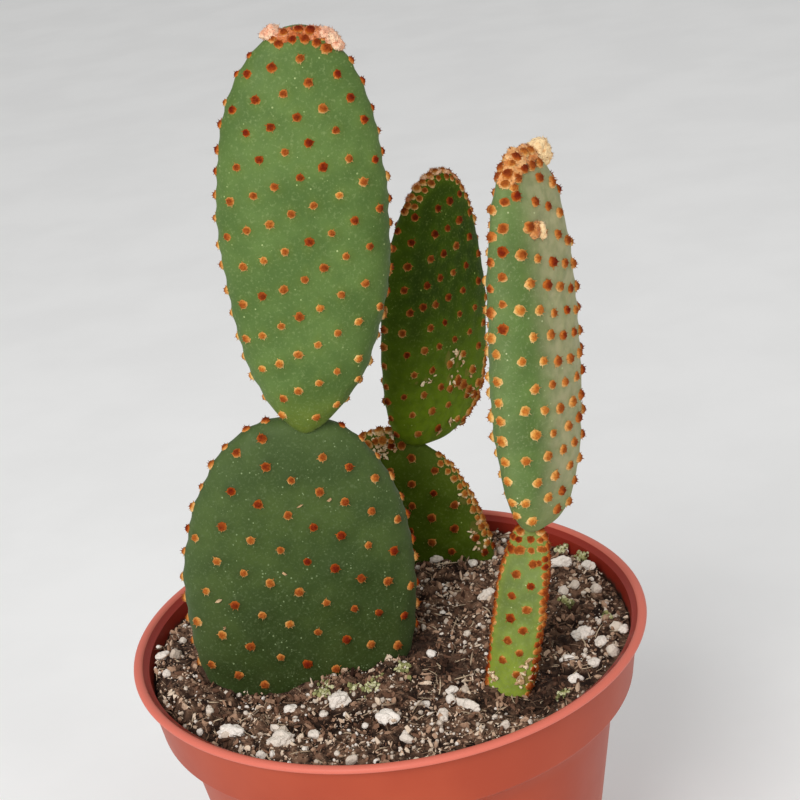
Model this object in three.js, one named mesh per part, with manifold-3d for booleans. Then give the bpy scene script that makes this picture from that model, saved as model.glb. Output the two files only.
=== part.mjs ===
// A potted bunny ears cactus: three plants of two pads each, rooted in potting mix in a
// round plastic nursery pot. Millimetres, +Z up, origin at the middle of the pot's
// underside. The front faces -Y.
import * as THREE from "three";
import { ConvexHull } from "three/addons/math/ConvexHull.js";
import { mergeVertices } from "three/addons/utils/BufferGeometryUtils.js";
import Module from "manifold-3d";

const wasm = await Module();
wasm.setup();

// Driving dimensions

const FACETS = 48; // round the pot and the soil
const CLEARANCE = 0.3; // between pieces that touch
const HOLE_GROWTH = 1.25 * CLEARANCE; // round a pad, whose flat facets lie inside its skin
const ROW_RATIO = Math.sqrt(3) / 2; // from row to row of a grid of even triangles, per step

const POT = {
  height: 90,
  rimRadius: 54,
  wall: 1.2,
  floor: 2.2,
  beadDepth: 1.5,
  beadReach: 1.95, // how far the rim's bead stands out from the collar
  collarTaper: 1.75, // how much narrower the collar is at its foot
  collarDepth: 14,
  stepDepth: 3.2,
  stepReach: 4.4, // how far the collar overhangs the body
  baseRadius: 33.6,
  baseRound: 1.6,
  innerRound: 1,
  lipDepth: 1.4, // where the bead's inner slope meets the wall
  drainHoles: 8,
  drainSides: 12,
  drainRadius: 3.2,
  drainCircle: 24,
};

const SOIL = {
  level: 86.6,
  brink: 1, // how far under its level it leaves the wall
  edge: 1.2, // how far in from the wall the rough top begins
  step: 4.4, // between the points of the rough top
  jitter: 0.5, // of those points, as a share of the step
  inset: 0.55, // of those points from the rough top's edge, as a share of the step
  roughness: 0.6,
  seed: 11,
};

// Two sets of crossed waves in the mix: height, and radians per millimetre and phases
const SWELL = { height: 0.5, x: 0.19, phaseX: 1.1, y: 0.16, phaseY: -0.4 };
const RIPPLE = { height: 0.35, along: [0.53, 0.31], over: [-0.22, 0.47] };

// Places where the mix is heaped or hollow: x, y, height, radius. Each is a bell whose
// radius is HEAP_SPREAD times its standard deviation.
const HEAP_SPREAD = 1.6;
const HEAPS = [
  [0, -16, 2.4, 8],
  [-47, -3, 3.4, 14],
  [-22, -20, -1.7, 11],
  [26, -31, -3.0, 8],
  [12, 23, 4.0, 12],
  [40, 16, 1.4, 13],
  [8, 46, 1.4, 11],
  [10, -42, -0.6, 10],
];

// White lumps in the mix, radii from smallest to largest
const PERLITE = {
  count: 52,
  smallest: 0.9,
  largest: 2.1,
  bias: 1.6, // over 1 makes small ones common
  lift: 0.15, // of a lump's middle over the mix, as a share of its radius
  apart: 1.4,
  clear: 0.6, // from the pads
  fromWall: 1.8,
  uneven: 0.18, // how far its corners go in and out, as a share
  tilt: 0.6,
  seed: 29,
};
const MOST_TRIES = 4000; // to find room for the lumps

// A tuft of short barbed hairs, as a low cone with the root ring's radius and its height
const TUFT = {
  sides: 5,
  radius: 1.1,
  height: 1.25,
  spread: 0.3, // of the heights, as a share
  lean: 0.15, // towards the pad's tip
  jitter: 0.6,
  apart: 0.4, // between root rings on the rim
  rimJitter: 0.25, // along the rim, as a share of the step there
  aboveSoil: 2.0,
};
const SOCKET_BARE = 6; // no tufts on a lower pad this near the root of the pad above

// Tufts stand where rows cross, up to this many rows from the first one, and in the gaps
// that bent rows leave. Shares of the pitch: least distances, and the step of the search.
const ROWS = 12;
const CROSSING_APART = 0.6;
const GAP_APART = 0.92;
const GAP_STEP = 0.5;

// Plain points of the skin between tufts, and shares of their step that they keep from
// other points and from the rim
const FILL = { rows: 16, step: 6.4, apart: 0.72, inset: 0.4 };

const FULLNESS = 2.35; // of a pad's section: 2 is an ellipse, and more is squarer
const PLUMPNESS = 0.12; // how much thicker a pad is at its root, and thinner at its tip

// Each pad: its root and tip, how far its face is turned from the front, its half sizes,
// how blunt its two ends are (less is blunter), how it leans to one side (skew), to one
// side low and the other high up (swing) and bows, and its tufts.
// They stand in two sets of rows on the flattened skin: start is the tuft nearest the
// middle, across and down are the steps to its neighbours, and curve bends the rows.
// buds are woolly new shoots on the rim: the angle from across, radius and height.
const PADS = {
  front_lower_pad: {
    root: [-20.0, -7.5, 63],
    tip: [-12.8, -7.5, 142.6],
    turn: 2,
    halfWidth: 23.4,
    halfThickness: 7.4,
    rootPower: 0.5,
    tipPower: 0.46,
    skew: 0,
    swing: 0,
    bow: 0.6,
    start: [-0.6, 2.9],
    across: [5.4, -2.4],
    down: [-2.1, -7.0],
    curve: [[-0.01, 0.06], [0.08, 0.1], [-0.13, 0.01]],
    rimStep: 4.9,
    margin: 3.1,
    seed: 3,
  },
  front_upper_pad: {
    root: [-10.8, -9.8, 139.4],
    tip: [-0.3, -9.0, 218.6],
    turn: 2,
    halfWidth: 16.2,
    halfThickness: 5.9,
    rootPower: 0.62,
    tipPower: 0.5,
    skew: 0.5,
    swing: -1.6,
    bow: -0.8,
    firstTuft: 4.5,
    start: [-2.4, 2.0],
    across: [-4.3, -1.7],
    down: [2.75, -5.15],
    curve: [[0.1, 0.03], [0.04, -0.09], [0.07, -0.06]],
    rimStep: 4.6,
    margin: 2.9,
    seed: 5,
    buds: [[78.7, 2.1, 2.3], [100.4, 1.9, 2.4]],
  },
  rear_lower_pad: {
    root: [9.5, 31, 66],
    tip: [3.4, 30.5, 120.8],
    turn: -15,
    halfWidth: 18,
    halfThickness: 5.4,
    rootPower: 0.34,
    tipPower: 0.5,
    skew: 0,
    swing: 0,
    bow: 0.4,
    start: [0.2, -0.6],
    across: [4.0, -3.4],
    down: [-1.3, -5.4],
    curve: [[0, 0], [0, 0], [0, 0]],
    rimStep: 4.6,
    margin: 3.0,
    seed: 7,
  },
  rear_upper_pad: {
    root: [13.3, 29.3, 117.2],
    tip: [22.4, 29.6, 177.2],
    turn: 42,
    halfWidth: 14.8,
    halfThickness: 5.0,
    rootPower: 0.36,
    tipPower: 0.5,
    skew: 1.2,
    swing: -2.2,
    bow: 0.5,
    firstTuft: 4,
    start: [0.4, -0.7],
    across: [4.8, 0.45],
    down: [-1.75, -5.1],
    curve: [[0.21, 0.05], [0.06, -0.05], [-0.05, 0.02]],
    rimStep: 4.2,
    margin: 2.7,
    seed: 13,
  },
  right_lower_pad: {
    root: [18.8, -24.4, 70],
    tip: [30.7, -22.6, 119.4],
    turn: -18,
    halfWidth: 4.7,
    halfThickness: 2.9,
    rootPower: 0.5,
    tipPower: 0.3,
    skew: 0,
    swing: 0,
    bow: 0.8,
    start: [-1.4, 0],
    across: [0, 4.8],
    down: [3.0, -2.2],
    curve: [[0, 0], [0, 0], [0, 0]],
    rimStep: 3.2,
    margin: 2.4,
    seed: 17,
  },
  right_upper_pad: {
    root: [32.8, -23.2, 118.8],
    tip: [36.2, -22.0, 193.4],
    turn: 48,
    halfWidth: 11.4,
    halfThickness: 5.2,
    rootPower: 0.29,
    tipPower: 0.33,
    skew: 0.2,
    swing: 0,
    bow: -0.6,
    firstTuft: 4.5,
    start: [-1.05, 1.0],
    across: [4.0, -0.85],
    down: [-2.1, -4.2],
    curve: [[-0.05, 0.09], [0.13, 0.08], [0.01, -0.05]],
    rimStep: 4.2,
    margin: 2.7,
    seed: 19,
    buds: [[83.5, 2.5, 2.7]],
  },
};

const COLOURS = {
  pot: 0xc8563f,
  soil: 0x3d2b22,
  lowerPad: 0x45663f,
  upperPad: 0x5c8248,
  shadedPad: 0x4a6a2c,
};

// Seeded random numbers from 0 to 1
function randomFrom(seed) {
  let state = seed >>> 0;
  return () => {
    state = (state + 0x6d2b79f5) >>> 0;
    let t = Math.imul(state ^ (state >>> 15), state | 1);
    t ^= t + Math.imul(t ^ (t >>> 7), t | 61);
    return ((t ^ (t >>> 14)) >>> 0) / 4294967296;
  };
}

// Solids

function weld(geometry) {
  const bare = geometry.clone();
  bare.deleteAttribute("normal");
  bare.deleteAttribute("uv");
  return mergeVertices(bare, 1e-4);
}

function solidOf(geometry) {
  return new wasm.Manifold(
    new wasm.Mesh({
      numProp: 3,
      vertProperties: new Float32Array(geometry.attributes.position.array),
      triVerts: new Uint32Array(geometry.index.array),
    }),
  );
}

function geometryOf(solid) {
  const mesh = solid.getMesh();
  const geometry = new THREE.BufferGeometry();
  geometry.setAttribute("position", new THREE.BufferAttribute(mesh.vertProperties, 3));
  geometry.setIndex(new THREE.BufferAttribute(mesh.triVerts, 1));
  return geometry;
}

function indexed(points, triangles) {
  const geometry = new THREE.BufferGeometry();
  geometry.setFromPoints(points);
  geometry.setIndex(triangles.flat());
  return geometry;
}

// Triangles between points of a plane, none with another point inside its circle: the
// underside of the hull of the same points lifted onto a bowl. Counter-clockwise.
function triangulate(points) {
  const lifted = points.map(([x, y]) => new THREE.Vector3(x, y, x * x + y * y));
  const number = new Map(lifted.map((point, i) => [point, i]));
  const triangles = [];
  for (const face of new ConvexHull().setFromPoints(lifted).faces) {
    if (face.normal.z > -1e-9) continue;
    const corners = [face.edge, face.edge.next, face.edge.next.next];
    triangles.push(corners.map((edge) => number.get(edge.head().point)).reverse());
  }
  return triangles;
}

// One pad. Its own frame has x across, y from root to tip and z out of its face. Its skin
// is found from an angle round its middle and a turn from 0 at the middle of the front,
// over the rim at a quarter, to the middle of the back at a half.
class Pad {
  constructor(sizes, above) {
    Object.assign(this, sizes);
    this.socket = above && new THREE.Vector3(...above.root);
    const root = new THREE.Vector3(...sizes.root);
    const up = new THREE.Vector3(...sizes.tip).sub(root);
    this.length = up.length();
    up.normalize();
    const turn = THREE.MathUtils.degToRad(sizes.turn);
    const face = new THREE.Vector3(Math.sin(turn), -Math.cos(turn), 0);
    face.addScaledVector(up, -face.dot(up)).normalize();
    const across = new THREE.Vector3().crossVectors(up, face);
    this.matrix = new THREE.Matrix4().makeBasis(across, up, face).setPosition(root);
    this.widest = this.rootPower / (this.rootPower + this.tipPower);
    this.middle = this.widest * this.length;
    this.random = randomFrom(sizes.seed);
  }

  // Half width at a height given as a share of the length
  halfWidthAt(share) {
    if (share <= 0 || share >= 1) return 0;
    const rise = (share / this.widest) ** this.rootPower;
    const fall = ((1 - share) / (1 - this.widest)) ** this.tipPower;
    return this.halfWidth * rise * fall;
  }

  // Distance from the middle to the outline, at an angle from across
  reach(angle) {
    const x = Math.cos(angle);
    const y = Math.sin(angle);
    let near = 0;
    let far = this.length;
    for (let i = 0; i < 32; i++) {
      const half = (near + far) / 2;
      const inside = Math.abs(x * half) < this.halfWidthAt((this.middle + y * half) / this.length);
      if (inside) near = half;
      else far = half;
    }
    return near;
  }

  // Point of the skin at an angle and a turn, with the pad's skew, swing and bow
  skin(angle, turn) {
    const power = 2 / FULLNESS;
    const sine = Math.sin(turn);
    const cosine = Math.cos(turn);
    const distance = this.reach(angle) * sine ** power;
    const depth = this.halfThickness * Math.sign(cosine) * Math.abs(cosine) ** power;
    const x = distance * Math.cos(angle);
    const y = this.middle + distance * Math.sin(angle);
    const share = (2 * y) / this.length - 1;
    const plumper = 1 - PLUMPNESS * share;
    return new THREE.Vector3(
      x + (this.skew + this.swing * share) * (1 - share * share),
      y,
      depth * plumper + this.bow * (share * share - 0.5),
    );
  }

  normal(angle, turn) {
    const step = 1e-3;
    if (turn < step) return new THREE.Vector3(0, 0, 1);
    if (turn > Math.PI - step) return new THREE.Vector3(0, 0, -1);
    const along = this.skin(angle + step, turn).sub(this.skin(angle - step, turn));
    const over = this.skin(angle, turn + step).sub(this.skin(angle, turn - step));
    return over.cross(along).normalize();
  }

  // Lengths over the skin from the middle of the face to the rim, at equal turns
  unrolled(angle) {
    const steps = 20;
    const lengths = [0];
    let last = this.skin(angle, 0);
    for (let i = 1; i <= steps; i++) {
      const next = this.skin(angle, ((i / steps) * Math.PI) / 2);
      lengths.push(lengths[i - 1] + next.distanceTo(last));
      last = next;
    }
    return lengths;
  }

  // Angle, turn and distance to the rim of a place on the flattened skin
  locate([x, y]) {
    const angle = Math.atan2(y, x);
    const distance = Math.hypot(x, y);
    const lengths = this.unrolled(angle);
    const steps = lengths.length - 1;
    let i = 1;
    while (i < steps && lengths[i] < distance) i++;
    const part = (distance - lengths[i - 1]) / (lengths[i] - lengths[i - 1]);
    const turn = Math.min(1, (i - 1 + part) / steps) * (Math.PI / 2);
    return { angle, turn, inset: lengths[steps] - distance };
  }

  // Whether tufts grow at an angle and a turn: an upper pad is bare near its root, and a
  // lower one in and just above the soil, and round the socket of the pad above
  bears(angle, turn) {
    const point = this.skin(angle, turn);
    if (!this.socket) return point.y > this.firstTuft;
    point.applyMatrix4(this.matrix);
    const aboveSoil = point.z - soilHeight(point.x, point.y);
    return aboveSoil > TUFT.aboveSoil && point.distanceTo(this.socket) > SOCKET_BARE;
  }

  // The rim's whole length, the angle at a walked length of it, and the reverse
  rimWalk() {
    const samples = 720;
    const angleOf = (sample) => (sample / samples) * 2 * Math.PI - Math.PI / 2;
    const walked = [0];
    let last = this.skin(angleOf(0), Math.PI / 2);
    for (let i = 1; i <= samples; i++) {
      const next = this.skin(angleOf(i), Math.PI / 2);
      walked.push(walked[i - 1] + next.distanceTo(last));
      last = next;
    }
    const total = walked[samples];
    const angleAt = (length) => {
      const wanted = ((length % total) + total) % total;
      let i = 1;
      while (walked[i] < wanted) i++;
      return angleOf(i - 1 + (wanted - walked[i - 1]) / (walked[i] - walked[i - 1]));
    };
    const lengthAt = (angle) => walked[Math.round(((angle + Math.PI / 2) / (2 * Math.PI)) * samples)];
    return { total, angleAt, lengthAt };
  }

  tuftHeight() {
    return TUFT.height * (1 + TUFT.spread * (this.random() - 0.5));
  }

  // The rim's points, with its tufts and buds, and the inner points of their root rings:
  // plain points where it bears none
  rimPoints() {
    const rim = this.rimWalk();
    const shoots = (this.buds ?? []).map(([degrees, radius, height]) => ({
      walked: rim.lengthAt(THREE.MathUtils.degToRad(degrees)),
      radius,
      height,
    }));
    const count = Math.round(rim.total / this.rimStep);
    for (let i = 0; i < count; i++) {
      const { radius, apart } = TUFT;
      const walked = ((i + 0.5 + (this.random() - 0.5) * TUFT.rimJitter) / count) * rim.total;
      const clear = (shoot) => Math.abs(shoot.walked - walked) > shoot.radius + radius + apart;
      if (shoots.every(clear)) shoots.push({ walked, radius, height: this.tuftHeight() });
    }
    shoots.sort((one, other) => one.walked - other.walked);
    const points = [];
    const inner = [];
    for (const { walked, radius, height } of shoots) {
      const angle = rim.angleAt(walked);
      if (!this.bears(angle, Math.PI / 2)) {
        points.push({ angle, turn: Math.PI / 2, lift: 0 });
        continue;
      }
      for (const [offset, lift] of [[-radius, 0], [0, height], [radius, 0]])
        points.push({ angle: rim.angleAt(walked + offset), turn: Math.PI / 2, lift });
      for (const offset of [-radius / 2, radius / 2]) {
        const innerAngle = rim.angleAt(walked + offset);
        const distance = this.unrolled(innerAngle).at(-1) - radius * ROW_RATIO;
        inner.push([distance * Math.cos(innerAngle), distance * Math.sin(innerAngle)]);
      }
    }
    return { points, inner };
  }

  // Where row i crosses row j: the steps add up, and their squares and product bend them
  crossing(i, j) {
    const [bendI, bendBoth, bendJ] = this.curve;
    return [0, 1].map(
      (axis) =>
        this.start[axis] + i * this.across[axis] + j * this.down[axis] +
        i * i * bendI[axis] + i * j * bendBoth[axis] + j * j * bendJ[axis],
    );
  }

  // Middles of the tufts of one face, on the flattened skin: the rows' crossings first,
  // then one in each gap that the bent rows leave
  tuftPlaces(mirrored) {
    const pitch = Math.min(Math.hypot(...this.across), Math.hypot(...this.down));
    const side = mirrored ? -1 : 1;
    const places = [];
    const place = ([x, y], shareApart) => {
      const apart = shareApart * pitch;
      const jitterX = (this.random() - 0.5) * TUFT.jitter;
      const jitterY = (this.random() - 0.5) * TUFT.jitter;
      const spot = [side * (x + jitterX), y + jitterY];
      if (places.some((other) => Math.hypot(other[0] - spot[0], other[1] - spot[1]) < apart)) return;
      const { angle, turn, inset } = this.locate(spot);
      if (inset > this.margin && this.bears(angle, mirrored ? Math.PI - turn : turn))
        places.push(spot);
    };
    for (let i = -ROWS; i <= ROWS; i++)
      for (let j = -ROWS; j <= ROWS; j++) place(this.crossing(i, j), CROSSING_APART);
    const step = GAP_STEP * pitch;
    const half = Math.ceil(this.length / 2 / step);
    for (let i = -half; i <= half; i++)
      for (let j = -half; j <= half; j++) place([i * step, j * step], GAP_APART);
    return places;
  }

  // Plain points that fill what the tufts leave open
  fillers(taken) {
    const { rows, step } = FILL;
    const places = [];
    for (let i = -rows; i <= rows; i++)
      for (let j = -rows; j <= rows; j++) {
        const place = [(i + (j % 2) / 2) * step, j * step * ROW_RATIO];
        if (this.locate(place).inset < step * FILL.inset) continue;
        const near = ([x, y]) => Math.hypot(x - place[0], y - place[1]) < step * FILL.apart;
        if (taken.some(near) || places.some(near)) continue;
        places.push(place);
      }
    return places;
  }

  // Points and triangles of the whole skin, each point with how far its tuft stands out
  layOut() {
    const rim = this.rimPoints();
    const flat = rim.points.map(({ angle }) => {
      const whole = this.unrolled(angle).at(-1);
      return [whole * Math.cos(angle), whole * Math.sin(angle)];
    });
    const points = [...rim.points];
    const triangles = [];
    for (const back of [false, true]) {
      const places = [...flat];
      const numbers = flat.map((_, i) => i);
      const add = (place, lift) => {
        const { angle, turn } = this.locate(place);
        numbers.push(points.length);
        places.push(place);
        points.push({ angle, turn: back ? Math.PI - turn : turn, lift });
      };
      for (const place of rim.inner) add(place, 0);
      for (const middle of this.tuftPlaces(back)) {
        const twist = this.random() * 2 * Math.PI;
        const { sides, radius } = TUFT;
        add(middle, this.tuftHeight());
        for (let k = 0; k < sides; k++) {
          const angle = twist + (k / sides) * 2 * Math.PI;
          add([middle[0] + radius * Math.cos(angle), middle[1] + radius * Math.sin(angle)], 0);
        }
      }
      for (const place of this.fillers(places)) add(place, 0);
      for (const corners of triangulate(places)) {
        const turned = corners.map((i) => numbers[i]);
        triangles.push(back ? turned.reverse() : turned);
      }
    }
    return { points, triangles };
  }

  // The pad with its tufts, and a plain copy grown all round for the hole it stands in
  build() {
    const { points, triangles } = this.layOut();
    const up = new THREE.Vector3(0, 1, 0);
    const skin = points.map(({ angle, turn, lift }) => {
      const point = this.skin(angle, turn);
      if (!lift) return point;
      const out = this.normal(angle, turn).addScaledVector(up, TUFT.lean).normalize();
      return point.addScaledVector(out, lift);
    });
    const grown = points.map(({ angle, turn }) =>
      this.skin(angle, turn).addScaledVector(this.normal(angle, turn), HOLE_GROWTH),
    );
    this.geometry = indexed(skin, triangles);
    this.cutter = indexed(grown, triangles);
  }
}

// Points of an arc in a profile, round a middle, with its two half sizes
function arc([radius, height], [halfWidth, halfHeight], fromDegrees, toDegrees, steps) {
  return Array.from({ length: steps + 1 }, (_, i) => {
    const angle = THREE.MathUtils.degToRad(fromDegrees + ((toDegrees - fromDegrees) * i) / steps);
    return [radius + halfWidth * Math.cos(angle), height + halfHeight * Math.sin(angle)];
  });
}

// The pot's inside and outside as one closed profile, as [radius, height] from the axis
function potProfile() {
  const { height, rimRadius, wall, floor, beadDepth, beadReach, baseRadius, baseRound } = POT;
  const collar = rimRadius - beadReach;
  const collarFoot = collar - POT.collarTaper;
  const stepTop = height - POT.collarDepth;
  const body = collarFoot - POT.stepReach;
  const bead = [rimRadius - beadReach / 2, height - beadDepth / 2];
  return {
    outside: [
      [0, 0],
      ...arc([baseRadius - baseRound, baseRound], [baseRound, baseRound], -90, 0, 2),
      [body, stepTop - POT.stepDepth],
      [collarFoot, stepTop],
      [collar, height - beadDepth - wall / 2],
      ...arc(bead, [beadReach / 2, beadDepth / 2], -90, 135, 5),
    ],
    inside: [
      [collar - wall, height - POT.lipDepth],
      [collarFoot - wall, stepTop + wall / 2],
      [body - wall, stepTop - POT.stepDepth],
      [baseRadius - wall, floor + POT.innerRound],
      [baseRadius - wall - POT.innerRound, floor],
      [0, floor],
    ],
  };
}

function lathed(profile) {
  const outline = profile.map(([radius, height]) => new THREE.Vector2(radius, height));
  const geometry = weld(new THREE.LatheGeometry(outline, FACETS));
  return geometry.rotateX(Math.PI / 2);
}

function potGeometry() {
  const { outside, inside } = potProfile();
  let solid = solidOf(lathed([...outside, ...inside]));
  for (let i = 0; i < POT.drainHoles; i++) {
    const angle = ((i + 0.5) / POT.drainHoles) * 2 * Math.PI;
    const { drainRadius, drainSides, floor } = POT;
    const drill = new THREE.CylinderGeometry(drainRadius, drainRadius, 4 * floor, drainSides);
    drill.rotateX(Math.PI / 2);
    drill.translate(POT.drainCircle * Math.cos(angle), POT.drainCircle * Math.sin(angle), 0);
    solid = solid.subtract(solidOf(weld(drill)));
  }
  return geometryOf(solid);
}

// Height of the mix's surface: its level, the two sets of waves and the heaps
function soilHeight(x, y) {
  const swell = Math.sin(x * SWELL.x + SWELL.phaseX) * Math.cos(y * SWELL.y + SWELL.phaseY);
  const along = Math.sin(x * RIPPLE.along[0] + y * RIPPLE.along[1]);
  const over = Math.cos(x * RIPPLE.over[0] + y * RIPPLE.over[1]);
  let height = SOIL.level + SWELL.height * swell + RIPPLE.height * along * over;
  for (const [heapX, heapY, rise, radius] of HEAPS) {
    const deviations = (Math.hypot(x - heapX, y - heapY) / radius) * HEAP_SPREAD;
    height += rise * Math.exp(-(deviations ** 2) / 2);
  }
  return height;
}

// Points of the soil's top inside a radius, on a jittered grid with every other row shifted
function soilGrid(radius, random) {
  const { step, jitter, inset } = SOIL;
  const half = Math.ceil(radius / step / ROW_RATIO);
  const places = [];
  for (let row = -half; row <= half; row++)
    for (let column = -half; column <= half; column++) {
      const x = (column + (row & 1) / 2 + (random() - 0.5) * jitter) * step;
      const y = (row * ROW_RATIO + (random() - 0.5) * jitter) * step;
      if (Math.hypot(x, y) < radius - step * inset) places.push([x, y]);
    }
  return places;
}

// The block of mix: it follows the pot's inside, CLEARANCE away, and ends in a rough top
function soilGeometry(cutters) {
  const random = randomFrom(SOIL.seed);
  const gap = CLEARANCE / Math.cos(Math.PI / FACETS);
  const [lip, ...lower] = potProfile().inside;
  const wall = lower.slice(0, -1).reverse().map(([radius, height]) => [radius - gap, height]);
  wall[0][1] += CLEARANCE;
  wall[1][1] += CLEARANCE / 2;
  const brink = SOIL.level - SOIL.brink;
  const rise = (brink - lower[0][1]) / (lip[1] - lower[0][1]);
  const edge = lower[0][0] + rise * (lip[0] - lower[0][0]) - gap;
  wall.push([edge, brink]);
  const rings = [...wall, [edge - SOIL.edge]];
  const points = [new THREE.Vector3(0, 0, wall[0][1])];
  const topPoint = (x, y) =>
    new THREE.Vector3(x, y, soilHeight(x, y) + (random() * 2 - 1) * SOIL.roughness);
  for (const [radius, height] of rings)
    for (let i = 0; i < FACETS; i++) {
      const angle = (i / FACETS) * 2 * Math.PI;
      const [x, y] = [radius * Math.sin(angle), radius * Math.cos(angle)];
      points.push(height === undefined ? topPoint(x, y) : new THREE.Vector3(x, y, height));
    }
  const triangles = [];
  const at = (ring, i) => 1 + ring * FACETS + (i % FACETS);
  for (let i = 0; i < FACETS; i++) {
    triangles.push([0, at(0, i), at(0, i + 1)]);
    for (let ring = 0; ring < wall.length; ring++) {
      triangles.push([at(ring, i), at(ring + 1, i), at(ring + 1, i + 1)]);
      triangles.push([at(ring, i), at(ring + 1, i + 1), at(ring, i + 1)]);
    }
  }
  const first = at(wall.length, 0);
  const top = points.slice(first).map(({ x, y }) => [x, y]);
  for (const place of soilGrid(edge - SOIL.edge, random)) {
    top.push(place);
    points.push(topPoint(...place));
  }
  for (const corners of triangulate(top)) triangles.push(corners.map((i) => first + i));
  let solid = solidOf(indexed(points, triangles));
  for (const lump of perliteLumps(edge, cutters)) solid = solid.add(solidOf(lump));
  for (const cutter of cutters) solid = solid.subtract(solidOf(cutter));
  return geometryOf(solid);
}

// Few-sided white lumps, half sunk, clear of the pads and of the pot's wall
function perliteLumps(edge, cutters) {
  const random = randomFrom(PERLITE.seed);
  const boxes = cutters.map((cutter) => {
    cutter.computeBoundingBox();
    return cutter.boundingBox;
  });
  const { smallest, largest, bias, lift, apart, clear, fromWall, uneven, tilt } = PERLITE;
  const placed = [];
  const lumps = [];
  for (let tries = 0; lumps.length < PERLITE.count && tries < MOST_TRIES; tries++) {
    const size = smallest + (largest - smallest) * random() ** bias;
    const angle = random() * 2 * Math.PI;
    const radius = (edge - size - fromWall) * Math.sqrt(random());
    const middle = new THREE.Vector3(radius * Math.cos(angle), radius * Math.sin(angle), 0);
    middle.z = soilHeight(middle.x, middle.y) + size * lift - SOIL.roughness;
    const crowded = placed.some(([other, reach]) => other.distanceTo(middle) < reach + size + apart);
    if (crowded || boxes.some((box) => box.distanceToPoint(middle) < size + clear)) continue;
    placed.push([middle, size]);
    const lump = weld(new THREE.IcosahedronGeometry(1, 0));
    const place = lump.attributes.position;
    for (let i = 0; i < place.count; i++) {
      const share = 1 + uneven * (random() * 2 - 1);
      place.setXYZ(i, place.getX(i) * share, place.getY(i) * share, place.getZ(i) * share);
    }
    lump.scale(size * (0.8 + 0.5 * random()), size * (0.75 + 0.3 * random()), size * 0.85);
    lump.rotateX((random() * 2 - 1) * tilt);
    lump.rotateZ(random() * Math.PI);
    lump.translate(middle.x, middle.y, middle.z);
    lumps.push(lump);
  }
  return lumps;
}

function piece(name, geometry, colour, roughness) {
  const material = new THREE.MeshStandardMaterial({ color: colour, roughness, metalness: 0 });
  const mesh = new THREE.Mesh(geometry, material);
  mesh.name = name;
  return mesh;
}

// A lower pad with the socket of the pad above it, both in their own frames
function socketed(lower, upper) {
  const intoLower = lower.matrix.clone().invert().multiply(upper.matrix);
  const cutter = upper.cutter.clone().applyMatrix4(intoLower);
  return geometryOf(solidOf(lower.geometry).subtract(solidOf(cutter)));
}

function plant(place, lowerColour, upperColour) {
  const names = [`${place}_lower_pad`, `${place}_upper_pad`];
  const upper = new Pad(PADS[names[1]]);
  const lower = new Pad(PADS[names[0]], PADS[names[1]]);
  lower.build();
  upper.build();
  const lowerMesh = piece(names[0], socketed(lower, upper), lowerColour, 0.62);
  const upperMesh = piece(names[1], upper.geometry, upperColour, 0.62);
  lowerMesh.applyMatrix4(lower.matrix);
  upperMesh.applyMatrix4(upper.matrix);
  const group = new THREE.Group();
  group.add(lowerMesh, upperMesh);
  return { group, hole: lower.cutter.clone().applyMatrix4(lower.matrix) };
}

const plants = [
  plant("front", COLOURS.lowerPad, COLOURS.upperPad),
  plant("rear", COLOURS.shadedPad, COLOURS.shadedPad),
  plant("right", COLOURS.upperPad, COLOURS.upperPad),
];

const cactus = new THREE.Group();
cactus.add(piece("pot", potGeometry(), COLOURS.pot, 0.55));
cactus.add(piece("soil", soilGeometry(plants.map(({ hole }) => hole)), COLOURS.soil, 0.95));
for (const { group } of plants) cactus.add(group);

export default cactus;
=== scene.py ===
"""Looks of a potted bunny ears cactus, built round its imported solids.

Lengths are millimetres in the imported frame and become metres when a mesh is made: +Z is up,
-Y is the front, and the origin is the middle of the pot's underside. Each pad has a frame of
its own, with x across, y from root to tip and z out of its face.
"""

from __future__ import annotations

import logging
import math
from dataclasses import dataclass, field
from enum import Enum
from functools import cached_property

import bpy
import numpy as np
from mathutils import Matrix, Vector

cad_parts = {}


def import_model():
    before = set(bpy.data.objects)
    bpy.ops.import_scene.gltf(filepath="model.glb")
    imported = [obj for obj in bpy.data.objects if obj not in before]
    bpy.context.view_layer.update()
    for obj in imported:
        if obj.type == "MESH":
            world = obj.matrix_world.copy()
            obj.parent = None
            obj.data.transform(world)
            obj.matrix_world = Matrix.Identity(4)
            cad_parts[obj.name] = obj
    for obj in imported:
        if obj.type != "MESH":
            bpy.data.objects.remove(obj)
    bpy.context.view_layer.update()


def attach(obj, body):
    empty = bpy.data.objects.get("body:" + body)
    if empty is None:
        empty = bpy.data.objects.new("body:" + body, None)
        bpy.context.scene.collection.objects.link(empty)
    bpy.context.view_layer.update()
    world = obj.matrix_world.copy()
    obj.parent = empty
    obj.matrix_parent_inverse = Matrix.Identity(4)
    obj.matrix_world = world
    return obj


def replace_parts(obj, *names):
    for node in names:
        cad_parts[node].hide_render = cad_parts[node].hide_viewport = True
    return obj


Array = np.ndarray
Socket = bpy.types.NodeSocket
Feeds = dict[str | int, object]
Grain = tuple[float, float, float] | None
Scale = tuple[tuple[float, int], ...]
Pairs = tuple[tuple[float, float], ...]
Triples = tuple[tuple[float, float, float], ...]

LOG = logging.getLogger("cactus")
MM = 0.001
GOLDEN_ANGLE = math.pi * (3 - math.sqrt(5))
SPIKE_POINTS = 4


# Numbers and noise


def linear(colour: int) -> tuple[float, float, float, float]:
    """Linear colour of a screen colour.

    Args:
        colour: The screen colour as 0xRRGGBB.

    Returns:
        Red, green, blue and an alpha of 1.
    """
    screen = [((colour >> shift) & 255) / 255 for shift in (16, 8, 0)]
    parts = [c / 12.92 if c <= 0.04045 else ((c + 0.055) / 1.055) ** 2.4 for c in screen]
    return (*parts, 1.0)


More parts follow.
